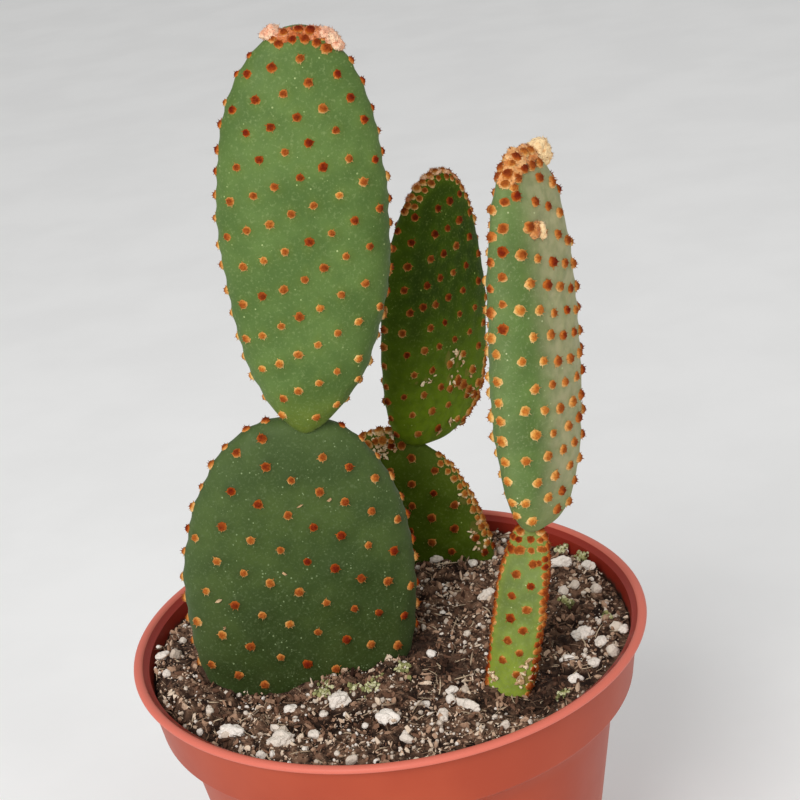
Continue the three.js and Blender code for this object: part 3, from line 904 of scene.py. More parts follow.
@dataclass(frozen=True)
class NurseryPot:
    """A thin round plastic pot with a rolled rim, a collar over a step, and drain holes."""

    height: float = 90.0
    rim_radius: float = 54.0
    wall: float = 1.2
    floor: float = 2.2
    bead_depth: float = 1.5
    bead_reach: float = 1.95
    collar_taper: float = 1.75
    collar_depth: float = 14.0
    step_depth: float = 3.2
    step_reach: float = 4.4
    base_radius: float = 33.6
    base_round: float = 1.6
    inner_round: float = 1.0
    foot_round: float = 1.0
    # The body leans out to the step over so far, and a fillet leads under the step
    ease_reach: float = 0.35
    ease_depth: float = 2.5
    fillet_reach: float = 0.5
    fillet_height: float = 0.7
    bead_tuck: float = 0.6
    lip_depth: float = 1.4
    drain_holes: int = 8
    drain_radius: float = 3.2
    drain_circle: float = 24.0
    segments: int = 192
    sharp_from: float = 40.0
    finish: PotPlastic = PotPlastic("terracotta plastic", roughness=0.45, specular=0.25)

    @property
    def collar(self) -> float:
        """Outer radius of the collar under the bead."""
        return self.rim_radius - self.bead_reach

    @property
    def collar_foot(self) -> float:
        """Outer radius of the collar at its foot."""
        return self.collar - self.collar_taper

    @property
    def step_top(self) -> float:
        """Height of the collar's foot."""
        return self.height - self.collar_depth

    @property
    def body_top(self) -> float:
        """Outer radius of the body under the step."""
        return self.collar_foot - self.step_reach

    def inside(self) -> list[tuple[float, float]]:
        """The inner wall from the lip to the axis, as radius and height."""
        return [
            (self.collar - self.wall, self.height - self.lip_depth),
            (self.collar_foot - self.wall, self.step_top + self.wall / 2),
            (self.body_top - self.wall, self.step_top - self.step_depth),
            (self.base_radius - self.wall, self.floor + self.inner_round),
            (self.base_radius - self.wall - self.inner_round, self.floor),
            (0.0, self.floor),
        ]

    def profile(self) -> Array:
        """Draws outside and inside as one closed profile, its round edges as fine arcs.

        Returns:
            Radius and height, one point a row.
        """
        bead = (self.rim_radius - self.bead_reach / 2, self.height - self.bead_depth / 2)
        base = (self.base_radius - self.base_round, self.base_round)
        foot = (self.collar_foot - self.foot_round, self.step_top + self.foot_round)
        step_foot = self.step_top - self.step_depth
        outside = [
            (0.0, 0.0),
            (self.drain_circle, 0.0),
            *arc(base, (self.base_round, self.base_round), -90, 0, 6),
            (self.body_top - self.ease_reach, step_foot - self.ease_depth),
            (self.body_top, step_foot),
            (self.body_top + self.fillet_reach, step_foot + self.fillet_height),
            *arc(foot, (self.foot_round, self.foot_round), -40, 0, 4),
            (self.collar, self.height - self.bead_depth - self.wall / 2),
            *arc(bead, (self.bead_reach / 2, self.bead_depth / 2), -90, 160, 14),
            (self.collar, self.height - self.bead_tuck),
        ]
        return np.array(outside + self.inside())

    def surface(self) -> Surface:
        """Turns the profile into the pot.

        Returns:
            The pot without drain holes, with "inside" at 1 on its inner wall.
        """
        slack = 0.03
        surface = lathed(self.profile(), self.segments)
        radius = np.hypot(surface.points[:, 0], surface.points[:, 1])
        height = surface.points[:, 2]
        lean = (self.body_top - self.base_radius) / (self.step_top - self.step_depth)
        taper = self.collar_taper / self.collar_depth
        collar = self.collar_foot + taper * (height - self.step_top)
        outer = np.where(height > self.step_top, collar, self.base_radius + lean * height)
        lip = (radius < self.collar + slack) & (height > self.height - 1.1 * self.lip_depth)
        within = (radius < outer - 0.6 * self.wall) & (height > self.floor / 2)
        surface.values["inside"] = (lip | within).astype(float)
        return surface

    def drills(self) -> bpy.types.Object:
        """Makes short rods where the drain holes go.

        Returns:
            One object of them all.
        """
        sides = 32
        angles = np.arange(sides) / sides * 2 * math.pi
        rods = []
        for number in range(self.drain_holes):
            turn = (number + 0.5) / self.drain_holes * 2 * math.pi
            middle = self.drain_circle * np.array([math.cos(turn), math.sin(turn)])
            circle = middle + self.drain_radius * np.stack([np.cos(angles), np.sin(angles)], -1)
            reach = 2 * self.floor
            ends = [np.column_stack([circle, np.full(sides, z)]) for z in (-reach, reach)]
            start = np.arange(sides)
            caps = [start[None, ::-1], start[None] + sides]
            rods.append(Surface(np.concatenate(ends), [rolled_faces(2, sides), *caps]))
        return Surface.joined(rods).piece("drills", self.finish.material, smooth=False)

    def build(self) -> None:
        """Makes the pot and cuts its drain holes."""
        pot = self.surface().piece("nursery_pot", self.finish.material)
        drills = self.drills()
        cut = pot.modifiers.new("drain holes", "BOOLEAN")
        cut.object = drills
        cut.solver = "EXACT"
        bpy.context.view_layer.update()
        whole = bpy.data.meshes.new_from_object(pot.evaluated_get(bpy.context.evaluated_depsgraph_get()))
        pot.modifiers.clear()
        pot.data = whole
        bpy.data.objects.remove(drills)
        pot.data.set_sharp_from_angle(angle=math.radians(self.sharp_from))
        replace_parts(pot, "pot")


# The pads and their tufts


@dataclass(frozen=True)
class Wool:
    """A clump of woolly felt on a pad.

    It lies at an angle from across, and so many degrees over the rim, less than 0 on the
    front. Its half sizes are along the rim and over it, and its tone goes from 0, orange-red,
    to 1, cream.
    """

    degrees: float
    over: float
    along: float
    across: float
    height: float
    tone: float


@dataclass(frozen=True)
class Crown:
    """A stretch of rim where tufts crowd together: from and to in degrees, and their step.

    Its rows lie so many degrees over the rim, less than 0 on the front.
    """

    start: float
    end: float
    step: float
    rows: tuple[float, ...]
    tint: float
    size: float = 1.0


@dataclass(frozen=True)
class Scar:
    """A corky patch on a pad's front, in the pad's frame, with crumbs and flakes on it."""

    across: float
    along: float
    radius: float
    crumbs: int
    flakes: int = 0


@dataclass
class Tufts:
    """Tufts of a pad: angle and turn of each on its skin, its size and its tint."""

    angle: Array
    turn: Array
    size: Array
    tint: Array

    def and_also(self, other: Tufts) -> Tufts:
        """These tufts and others."""
        return Tufts(*(np.concatenate([getattr(self, key), getattr(other, key)])
                       for key in ("angle", "turn", "size", "tint")))


@dataclass(frozen=True)
class TuftForm:
    """One tuft: a dome of felted bristles with the longer ones standing out of it."""

    radius: float = 1.12
    height: float = 1.15
    sides: int = 8
    bristles: int = 9
    bristle_width: float = 0.15
    # Rings of the dome from its foot up: share of the radius, share of the height, and paleness
    rings: Triples = ((1.0, -0.2, 0.95), (0.82, 0.34, 0.62), (0.5, 0.66, 0.12))
    dome_top: float = 0.85
    # The bristles' roots and tips at the tuft's edge, as shares of the radius
    root_reach: float = 0.78
    tip_reach: float = 1.18

    def surface(self, centres: Array, axes: Array, size: Array, tint: Array,
                rng: np.random.Generator) -> Surface:
        """All tufts of a pad.

        Args:
            centres: Where each stands.
            axes: Each tuft's frame, its columns across, towards the pad's tip, and out.
            size: Share of the usual size.
            tint: From 0, dark red-brown, to 1, orange with cream.
            rng: Random numbers.

        Returns:
            Domes and bristles, with "pale" from 0 at the top to 1 at the lower edge.
        """
        domes, dome_pale = self._domes(len(centres), rng)
        bristles, bristle_pale = self._bristles(len(centres), rng)
        local = np.concatenate([domes, bristles], axis=1)
        lower = -local[..., 1] / self.radius
        pale = np.concatenate([dome_pale, bristle_pale], axis=1)
        pale = pale + 0.45 * smooth_step(0.05, 1.0, lower) - 0.15 * smooth_step(0.0, 0.9, -lower)
        pale = np.clip(pale * (0.75 + 0.25 * smooth_step(0, 0.4, tint))[:, None], 0, 1)
        points = centres[:, None] + np.einsum("nij,nvj->nvi", axes, local * size[:, None, None])
        walls = rolled_faces(len(self.rings), self.sides)
        last = len(self.rings) * self.sides
        top = fan_faces(last, last - self.sides + np.arange(self.sides))
        spikes = spike_faces(last + 1, self.bristles)
        start = (np.arange(len(centres)) * local.shape[1])[:, None, None]
        faces = [(block[None] + start).reshape(-1, block.shape[1]) for block in (walls, top, spikes)]
        values = {"pale": pale.ravel(), "tint": np.repeat(tint, local.shape[1])}
        return Surface(points.reshape(-1, 3), faces, values)

    def _domes(self, count: int, rng: np.random.Generator) -> tuple[Array, Array]:
        """Domes: rings that narrow from under the skin up, and a top.

        Args:
            count: How many tufts.
            rng: Random numbers.

        Returns:
            Each dome's points, and how pale they are.
        """
        turn = np.arange(self.sides) / self.sides * 2 * math.pi + rng.uniform(0, 1, (count, 1))
        rings = []
        for share, rise, _ in self.rings:
            wide = self.radius * share * rng.uniform(0.8, 1.12, turn.shape)
            level = np.full_like(wide, rise * self.height)
            rings.append(np.stack([np.cos(turn) * wide, np.sin(turn) * wide, level], -1))
        top = np.zeros((count, 1, 3))
        top[..., 2] = self.dome_top * self.height
        pale = np.array([*np.repeat([pale for _, _, pale in self.rings], self.sides), 0.0])
        return np.concatenate([*rings, top], axis=1), pale + rng.normal(0, 0.09, (count, len(pale)))

    def _bristles(self, count: int, rng: np.random.Generator) -> tuple[Array, Array]:
        """Three-sided spikes on a spiral, leaning out more the further from the middle.

        Args:
            count: How many tufts.
            rng: Random numbers.

        Returns:
            The points of each tuft's spikes, and how pale they are.
        """
        number, shape = np.arange(self.bristles), (count, self.bristles)
        share = np.sqrt((number + 0.5) / self.bristles)
        turn = number * GOLDEN_ANGLE + rng.uniform(0, 2 * math.pi, (count, 1))
        turn = turn + rng.normal(0, 0.15, shape)
        outward = np.stack([np.cos(turn), np.sin(turn), np.zeros_like(turn)], -1)
        root = self.root_reach * self.radius * share[:, None] * outward
        root[..., 2] = self.height * (0.68 - 0.55 * share ** 2)
        reach = self.radius * (share * self.tip_reach + rng.normal(0, 0.07, shape))
        tip = reach[..., None] * outward
        tip[..., 2] = self.height * (1.1 - 0.75 * share ** 2) * rng.uniform(0.8, 1.15, shape)
        corner = np.arange(3) / 3 * 2 * math.pi
        across = np.stack([-outward[..., 1], outward[..., 0], np.zeros_like(turn)], -1)
        along = np.cross(across, unit(tip - root))
        ring = self.bristle_width * (np.cos(corner)[:, None] * across[..., None, :]
                                     + np.sin(corner)[:, None] * along[..., None, :])
        spikes = np.concatenate([root[..., None, :] + ring, tip[..., None, :]], axis=-2)
        foot_pale = np.repeat((0.6 * share ** 2)[:, None], 3, axis=1)
        pale = np.concatenate([foot_pale, (0.1 + 0.75 * share ** 2)[:, None]], axis=1).ravel()
        return spikes.reshape(count, -1, 3), np.broadcast_to(pale, (count, len(pale)))


# The pads' section, the unevenness of their skin, and the skin's rise under each tuft
FULLNESS = 2.35
PLUMPNESS = 0.12
SWELLS = ((14.0, 0.36), (6.0, 0.2), (2.5, 0.07))
MOUND_HEIGHT = 0.36
MOUND_SPREAD = 1.6
HALO_SPREAD = 1.3
# Rows of tufts each way from a face's middle, and how far apart tufts are in shares of the rows
ROWS = 12
CROSSING_APART = 0.6
GAP_APART = 0.92
GAP_STEP = 0.5
EXTRA_TUFT_SIZE = 1.15


@dataclass(frozen=True, kw_only=True)
class Pad:
    """One flat pad, worked out as its solid is, with its skin, tufts, wool and scars."""

    node: str
    root: tuple[float, float, float]
    tip: tuple[float, float, float]
    turn: float
    half_width: float
    half_thickness: float
    root_power: float
    tip_power: float
    skew: float = 0.0
    swing: float = 0.0
    bow: float
    # On the flattened face: one crossing, the two sets' steps, and how the rows bend
    start: tuple[float, float]
    across: tuple[float, float]
    down: tuple[float, float]
    curve: Pairs = ((0.0, 0.0), (0.0, 0.0), (0.0, 0.0))
    rim_step: float
    margin: float
    seed: int
    skin_finish: PadSkin
    bristles: BristleFinish
    slot: str
    first_tuft: float = 0.0
    # Where the upper pad grows from a lower one, and how far round it no tufts stand
    socket: tuple[float, float, float] | None = None
    socket_bare: float = 5.0
    tuft_size: float = 1.0
    tint_root: float = 0.3
    tint_tip: float = 0.1
    tint_spread: float = 0.18
    tint_left: float = 0.0
    edge_rows: tuple[float, ...] = ()
    crowns: tuple[Crown, ...] = ()
    extra_tufts: Pairs = ()
    wool: tuple[Wool, ...] = ()
    wool_finish: WoolFinish | None = None
    scars: tuple[Scar, ...] = ()
    # The painted reflection on one side rises between these shares of the half width.
    reflection_from: float = 0.0
    reflection_to: float = 1.0
    grid_step: float = 0.8

    @cached_property
    def length(self) -> float:
        """From root to tip."""
        return float(np.linalg.norm(np.subtract(self.tip, self.root)))

    @cached_property
    def axes(self) -> Array:
        """The pad's frame: its columns are across, from root to tip, and out of its face."""
        up = unit(np.subtract(self.tip, self.root))
        turn = math.radians(self.turn)
        face = np.array([math.sin(turn), -math.cos(turn), 0.0])
        face = unit(face - up * (face @ up))
        return np.stack([np.cross(up, face), up, face], axis=1)

    @property
    def widest(self) -> float:
        """Where the pad is widest, as a share of its length."""
        return self.root_power / (self.root_power + self.tip_power)

    @property
    def middle(self) -> float:
        """Distance of the widest place from the root."""
        return self.widest * self.length

    def half_width_at(self, share: Array) -> Array:
        """Half width: a power of the share from the root times one of the share to the tip.

        Args:
            share: Shares of the length, from the root.

        Returns:
            Half widths.
        """
        inside = np.clip(share, 1e-9, 1 - 1e-9)
        rise = (inside / self.widest) ** self.root_power
        fall = ((1 - inside) / (1 - self.widest)) ** self.tip_power
        return np.where((share > 0) & (share < 1), self.half_width * rise * fall, 0)

    def reach(self, angle: Array) -> Array:
        """Distance from the middle to the outline, found by halving.

        Args:
            angle: Angles from across.

        Returns:
            Distances.
        """
        near, far = np.zeros_like(angle), np.full_like(angle, self.length)
        for _ in range(30):
            half = (near + far) / 2
            share = (self.middle + np.sin(angle) * half) / self.length
            inside = np.abs(np.cos(angle) * half) < self.half_width_at(share)
            near, far = np.where(inside, half, near), np.where(inside, far, half)
        return near

    def skin(self, angle: Array, turn: Array) -> Array:
        """Point of the skin in the pad's frame.

        The section is a squarish ellipse: distance from the middle goes with a power of the
        turn's sine, and depth with the same power of its cosine. The pad is plumper at its
        root, leans by the skew and the swing, and bows by the square of the share along it.

        Args:
            angle: Angles from across, round the outline.
            turn: Turns over it, from 0 on the front to pi on the back.

        Returns:
            Points.
        """
        power = 2 / FULLNESS
        distance = self.reach(angle) * np.abs(np.sin(turn)) ** power
        depth = self.half_thickness * np.sign(np.cos(turn)) * np.abs(np.cos(turn)) ** power
        x = distance * np.cos(angle)
        y = self.middle + distance * np.sin(angle)
        share = 2 * y / self.length - 1
        return np.stack([x + (self.skew + self.swing * share) * (1 - share ** 2), y,
                         depth * (1 - PLUMPNESS * share) + self.bow * (share ** 2 - 0.5)], -1)

    def normal(self, angle: Array, turn: Array) -> Array:
        """Direction out of the skin: the cross product of two short steps over it.

        Args:
            angle: Angles from across.
            turn: Turns over the outline.

        Returns:
            Unit vectors in the pad's frame.
        """
        step = 1e-3
        safe = np.clip(turn, 2 * step, math.pi - 2 * step)
        along = self.skin(angle + step, safe) - self.skin(angle - step, safe)
        over = self.skin(angle, safe + step) - self.skin(angle, safe - step)
        return unit(np.cross(over, along))

    def placed(self, points: Array) -> Array:
        """Points of the pad's frame in the whole object's."""
        return points @ self.axes.T + np.array(self.root)

    def unrolled(self, angle: Array) -> tuple[Array, Array]:
        """Walks over the skin from the middle of the face to the rim.

        Args:
            angle: Angles from across, one a walk.

        Returns:
            Lengths walked, one row a walk, and the turns that they reach.
        """
        turns = np.linspace(0, math.pi / 2, 21)
        points = self.skin(angle[:, None], turns[None])
        steps = np.linalg.norm(np.diff(points, axis=1), axis=2)
        return np.concatenate([np.zeros((len(angle), 1)), np.cumsum(steps, axis=1)], axis=1), turns

    def locate(self, flat: Array) -> tuple[Array, Array, Array]:
        """Finds places of the flattened skin on the pad.

        Args:
            flat: Places across and along, from the middle of the face.

        Returns:
            Angle and turn of each, and how far from the rim it is.
        """
        angle = np.arctan2(flat[:, 1], flat[:, 0])
        distance = np.hypot(flat[:, 0], flat[:, 1])
        lengths, turns = self.unrolled(angle)
        turn = np.array([np.interp(far, row, turns) for far, row in zip(distance, lengths)])
        return angle, turn, lengths[:, -1] - distance

    def depth_of(self, points: Array) -> Array:
        """How far out places are, in shares of the pad's reach: under 1 is inside it.

        Args:
            points: Places in the whole object's frame.

        Returns:
            One number for each.
        """
        local = (points - np.array(self.root)) @ self.axes
        share = 2 * local[:, 1] / self.length - 1
        x = local[:, 0] - (self.skew + self.swing * share) * (1 - share ** 2)
        y = local[:, 1] - self.middle
        outline = np.hypot(x, y) / np.maximum(self.reach(np.arctan2(y, x)), 1e-6)
        plump = self.half_thickness * np.maximum(1 - PLUMPNESS * share, 0.3)
        depth = np.abs(local[:, 2] - self.bow * (share ** 2 - 0.5)) / plump
        return (outline ** FULLNESS + depth ** FULLNESS) ** (1 / FULLNESS)

    def bears(self, angle: Array, turn: Array, mix: PottingMix) -> Array:
        """Whether tufts grow there: not at an upper pad's root, in the mix or at a socket.

        Args:
            angle: Angles from across.
            turn: Turns over the outline.
            mix: The potting mix.

        Returns:
            True where they grow.
        """
        point = self.skin(angle, turn)
        if self.socket is None:
            return point[..., 1] > self.first_tuft
        world = self.placed(point)
        clear = world[..., 2] - mix.height(world[..., 0], world[..., 1]) > mix.bare_height
        return clear & (np.linalg.norm(world - np.array(self.socket), axis=-1) > self.socket_bare)

    def tint_at(self, angle: Array, turn: Array, rng: np.random.Generator) -> Array:
        """Tint of tufts: from the root's to the tip's, with each its own luck.

        Args:
            angle: Angles from across.
            turn: Turns over the outline.
            rng: Random numbers.

        Returns:
            Tints from 0 to 1.
        """
        x, y, _ = np.moveaxis(self.skin(angle, turn), -1, 0)
        share = y / self.length
        usual = self.tint_root + (self.tint_tip - self.tint_root) * smooth_step(0, 1, share)
        usual += self.tint_left * smooth_step(0, -0.6, x / self.half_width) * smooth_step(0.9, 0.65, share)
        return np.clip(usual + rng.normal(0, self.tint_spread, share.shape), 0, 1)

    def face_tufts(self, mix: PottingMix, back: bool, rng: np.random.Generator) -> Tufts:
        """Tufts of one face: where two sets of bent rows cross, then one in each gap left.

        Args:
            mix: The potting mix.
            back: Whether it is the back face.
            rng: Random numbers.

        Returns:
            The tufts.
        """
        pitch = min(np.hypot(*self.across), np.hypot(*self.down))
        rows = np.arange(-ROWS, ROWS + 1)
        i, j = (grid.reshape(-1, 1) for grid in np.meshgrid(rows, rows, indexing="ij"))
        bend_i, bend_both, bend_j = np.array(self.curve)
        crossings = (np.array(self.start) + i * np.array(self.across) + j * np.array(self.down)
                     + i * i * bend_i + i * j * bend_both + j * j * bend_j)
        half = math.ceil(self.length / 2 / (GAP_STEP * pitch))
        search = np.arange(-half, half + 1) * GAP_STEP * pitch
        gaps = np.stack(np.meshgrid(search, search, indexing="ij"), -1).reshape(-1, 2)
        spots = np.concatenate([crossings, gaps])
        apart = np.repeat([CROSSING_APART, GAP_APART], [len(crossings), len(gaps)])
        spots = spots + rng.uniform(-0.3, 0.3, spots.shape)
        spots[:, 0] *= -1 if back else 1
        angle, turn, inset = self.locate(spots)
        turn = math.pi - turn if back else turn
        grows = (inset > self.margin) & self.bears(angle, turn, mix)
        angle, turn = angle[grows], turn[grows]
        kept = spaced(spots[grows], apart[grows] * pitch)
        angle, turn = angle[kept], turn[kept]
        size = self.tuft_size * rng.uniform(0.88, 1.12, len(angle))
        return Tufts(angle, turn, size, self.tint_at(angle, turn, rng))

    def rim_walk(self, turn: float) -> tuple[Array, Array]:
        """Walks round the pad at a turn, from the root.

        Args:
            turn: The turn over the outline.

        Returns:
            Lengths walked, and the angles that they reach.
        """
        angles = np.linspace(-math.pi / 2, 1.5 * math.pi, 721)
        points = self.skin(angles, np.full_like(angles, turn))
        steps = np.linalg.norm(np.diff(points, axis=0), axis=1)
        return np.concatenate([[0], np.cumsum(steps)]), angles

    def rim_tufts(self, mix: PottingMix, rng: np.random.Generator) -> Tufts:
        """Tufts along the rim, with more rows beside it where the pad has edge rows.

        Args:
            mix: The potting mix.
            rng: Random numbers.

        Returns:
            The tufts.
        """
        wool_gap, far_over = 0.6, 25
        rows = [(0.0, 0.5), *((offset, float(number % 2)) for number, offset in enumerate(self.edge_rows))]
        found = []
        for offset, shift in rows:
            turn = math.pi / 2 + math.radians(offset)
            walked, angles = self.rim_walk(turn)
            count = round(walked[-1] / self.rim_step)
            places = (np.arange(count) + shift + rng.uniform(-0.12, 0.12, count)) / count
            angle = np.interp(places * walked[-1], walked, angles)
            found.append(np.stack([angle, np.full(count, turn)]))
        angle, turn = np.concatenate(found, axis=1)
        degrees = np.degrees(angle)
        free = self.bears(angle, turn, mix)
        for crown in self.crowns:
            free &= ~((degrees > crown.start) & (degrees < crown.end))
        for clump in self.wool:
            away = np.radians(np.abs(degrees - clump.degrees)) * self.reach(angle)
            free &= (away > clump.along + wool_gap) | (abs(clump.over) > far_over)
        angle, turn = angle[free], turn[free]
        size = self.tuft_size * rng.uniform(0.9, 1.15, len(angle))
        return Tufts(angle, turn, size, self.tint_at(angle, turn, rng))

    def crown_tufts(self, rng: np.random.Generator) -> Tufts:
        """Crowded tufts along stretches of the rim, and single ones on the front.

        Args:
            rng: Random numbers.

        Returns:
            The tufts.
        """
        found = Tufts(*(np.zeros(0) for _ in range(4)))
        for crown in self.crowns:
            for number, offset in enumerate(crown.rows):
                turn = math.pi / 2 + math.radians(offset)
                walked, angles = self.rim_walk(turn)
                start, end = np.interp(np.radians([crown.start, crown.end]), angles, walked)
                count = max(1, round((end - start) / crown.step))
                places = start + (np.arange(count) + 0.25 + 0.5 * (number % 2)) / count * (end - start)
                places += rng.uniform(-0.25, 0.25, count)
                angle = np.interp(places, walked, angles)
                tint = np.clip(crown.tint + rng.normal(0, 0.15, len(angle)), 0, 1)
                size = crown.size * rng.uniform(0.85, 1.2, len(angle))
                found = found.and_also(Tufts(angle, np.full(len(angle), turn), size, tint))
        if self.extra_tufts:
            angle, turn = self.on_front(np.array(self.extra_tufts))
            size = EXTRA_TUFT_SIZE * rng.uniform(0.85, 1.2, len(angle))
            found = found.and_also(Tufts(angle, turn, size, rng.uniform(0.2, 0.7, len(angle))))
        return found

    def all_tufts(self, mix: PottingMix) -> Tufts:
        """Tufts of both faces, the rim and the crowded stretches.

        Args:
            mix: The potting mix.

        Returns:
            The tufts.
        """
        rng = np.random.default_rng(self.seed)
        tufts = self.face_tufts(mix, False, rng).and_also(self.face_tufts(mix, True, rng))
        return tufts.and_also(self.rim_tufts(mix, rng)).and_also(self.crown_tufts(rng))

    def skin_surface(self, tufts: Tufts) -> Surface:
        """The fine skin: the formula's points, gently uneven, and raised under each tuft.

        Args:
            tufts: The pad's tufts.

        Returns:
            The skin, with how far along, to the side and at the edge its points are, and how
            near a tuft or a scar.
        """
        around = max(96, round(self.rim_walk(math.pi / 2)[0][-1] / self.grid_step))
        over = max(40, round(2 * (self.half_width + self.half_thickness) / self.grid_step))
        turns = np.linspace(0, math.pi, over + 2)[1:-1]
        angles = np.arange(around) / around * 2 * math.pi
        turn, angle = (grid.ravel() for grid in np.meshgrid(turns, angles, indexing="ij"))
        angle = np.append(angle, [0.0, 0.0])
        turn = np.append(turn, [1e-6, math.pi - 1e-6])
        points = self.skin(angle, turn)
        stand = self.skin(tufts.angle, tufts.turn)
        gaps = np.linalg.norm(points[:, None] - stand[None], axis=2).min(axis=1)
        mound = MOUND_HEIGHT * np.exp(-(gaps / MOUND_SPREAD) ** 2)
        points = points + self.normal(angle, turn) * (self.unevenness(points) + mound)[:, None]
        last = over * around
        faces = [rolled_faces(over, around)[:, ::-1], fan_faces(last, np.arange(around)),
                 fan_faces(last + 1, np.arange(around) + last - around)[:, ::-1]]
        values = {
            "along": points[:, 1] / self.length,
            # Where the painted reflection on one side falls.
            "side": smooth_step(self.reflection_from, self.reflection_to, points[:, 0] / self.half_width),
            # Where the painted sheen along the rim lies.
            "edge": np.sin(turn) ** 6,
            "halo": np.exp(-(gaps / HALO_SPREAD) ** 2),
            "scar": self.scarred(points, turn),
        }
        return Surface(self.placed(points), faces, values)

    def unevenness(self, points: Array) -> Array:
        """How far the living skin swells from its formula, at points of the formula."""
        return layered_noise(points + 50.0 * self.seed, SWELLS, self.seed)

    def scarred(self, points: Array, turn: Array) -> Array:
        """How corky places are: 1 at a scar's middle, falling to 0 at its radius.

        Args:
            points: Places in the pad's frame.
            turn: Their turns over the outline.

        Returns:
            One number for each.
        """
        worst = np.zeros(len(points))
        for scar in self.scars:
            away = np.hypot(points[:, 0] - scar.across, points[:, 1] - scar.along) / scar.radius
            worst = np.maximum(worst, np.where(turn < math.pi / 2, smooth_step(1.0, 0.2, away), 0))
        return worst

    def frames_at(self, angle: Array, turn: Array) -> tuple[Array, Array]:
        """Frames for things that stand on the skin.

        Args:
            angle: Angles from across.
            turn: Turns over the outline.

        Returns:
            Where they stand, and their frames: across, towards the tip, and out.
        """
        out = self.normal(angle, turn) @ self.axes.T
        up = np.broadcast_to(self.axes[:, 1], out.shape)
        up = unit(up - out * np.sum(up * out, axis=1, keepdims=True))
        points = self.skin(angle, turn)
        places = self.placed(points) + out * self.unevenness(points)[:, None]
        return places, np.stack([np.cross(up, out), up, out], axis=2)

    def on_front(self, spots: Array) -> tuple[Array, Array]:
        """Finds spots on the front.

        Args:
            spots: Places across and along the pad, from its root.

        Returns:
            Angle and turn of each.
        """
        x, y = (spots - (0, self.middle)).T
        angle = np.arctan2(y, x)
        share = np.clip(np.hypot(x, y) / self.reach(angle), 0, 1)
        return angle, np.arcsin(share ** (FULLNESS / 2))

    def build_skin(self, tufts: Tufts) -> None:
        """Makes the skin's piece.

        Args:
            tufts: The pad's tufts.
        """
        skin = self.skin_surface(tufts).piece(f"{self.node}_skin", self.skin_finish.material)
        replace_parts(skin, self.node)

    def build_tufts(self, tufts: Tufts, form: TuftForm) -> None:
        """Makes the piece of all the pad's tufts.

        Args:
            tufts: Where they stand.
            form: Their form.
        """
        centres, axes = self.frames_at(tufts.angle, tufts.turn)
        rng = np.random.default_rng(self.seed + 100)
        surface = form.surface(centres, axes, tufts.size, tufts.tint, rng)
        piece = surface.piece(f"{self.node}_tufts", self.bristles.material)
        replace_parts(piece, self.node)

    def wool_clump(self, clump: Wool, number: int) -> Surface:
        """An uneven dome with short wool standing out of it.

        Args:
            clump: Its place and size.
            number: Its number on the pad.

        Returns:
            The clump, with its "tone".
        """
        rng = np.random.default_rng(self.seed + 200 + number)
        angle = math.radians(clump.degrees) + np.array([0, -0.02, 0.02])
        turn = np.full(3, math.radians(90 + clump.over))
        points = self.skin(angle, turn)
        points = points + self.normal(angle, turn) * self.unevenness(points)[:, None]
        centre, before, after = self.placed(points)
        out = self.axes @ self.normal(angle, turn)[0]
        along = unit(after - before)
        axes = np.stack([along, np.cross(out, along), out], axis=1)
        ball, faces = round_lump(3)
        local = ball * (clump.along, clump.across, clump.height)
        layers = ((1.3, 0.2), (0.6, 0.16), (0.3, 0.06))
        rough = layered_noise(self.placed(local) + 9.0 * number, layers, self.seed)
        local = local * (1 + rough)[:, None] + (0, 0, clump.height * 0.15)
        hairs, width, sunk = 150, 0.1, 0.97
        chosen = rng.integers(0, len(ball), hairs)
        root, outward = local[chosen], unit(ball[chosen] + rng.normal(0, 0.25, (hairs, 3)))
        turns = random_turns(hairs, rng)
        corners = root[:, None] * sunk + width * turns[:, :, :2].transpose(0, 2, 1)
        third = root * sunk - width * turns[:, :, 0]
        tips = root + outward * rng.uniform(0.25, 0.55, (hairs, 1))
        wool = np.concatenate([corners, third[:, None], tips[:, None]], axis=1).reshape(-1, 3)
        points = np.concatenate([local, wool]) @ axes.T + centre
        tone = np.full(len(points), clump.tone)
        return Surface(points, [faces, spike_faces(len(local), hairs)], {"tone": tone})

    def build_wool(self) -> None:
        """Makes the piece of all the pad's woolly clumps."""
        if self.wool_finish:
            clumps = [self.wool_clump(clump, number) for number, clump in enumerate(self.wool)]
            surface = Surface.joined(clumps)
            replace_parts(surface.piece(f"{self.node}_wool", self.wool_finish.material), self.node)

    def build_chips(self) -> None:
        """Makes the corky crumbs and flakes that cling to the scars."""
        rng = np.random.default_rng(self.seed + 300)
        spots, sizes = [], []
        for scar in self.scars:
            count = scar.crumbs + scar.flakes
            spread = scar.radius * np.sqrt(rng.uniform(0, 1, count))
            turn = rng.uniform(0, 2 * math.pi, count)
            x, y = scar.across + spread * np.cos(turn), scar.along + spread * np.sin(turn)
            spots.append(np.stack([x, y], -1))
            sizes.append(rng.uniform([0.3, 0.2, 0.15], [0.75, 0.5, 0.4], (scar.crumbs, 3)))
            sizes.append(rng.uniform([0.35, 0.12, 0.05], [1.0, 0.42, 0.18], (scar.flakes, 3)))
        if not spots:
            return
        places, axes = self.frames_at(*self.on_front(np.concatenate(spots)))
        size = np.concatenate(sizes)
        places = places + axes[:, :, 2] * (0.15 + 0.5 * size[:, 2:])
        spin, tilt = rng.uniform(0, 2 * math.pi, len(size)), rng.normal(0, 0.6, len(size))
        turns = axes @ np.stack(lying_axes(spin, tilt), axis=2)
        tone = rng.uniform(0.3, 1.0, len(size))
        surface = strewn(places, size, 0, 0.6, rng, {"tone": tone}, turns)
        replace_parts(surface.piece(f"{self.node}_chips", CORK.material, smooth=False), self.node)

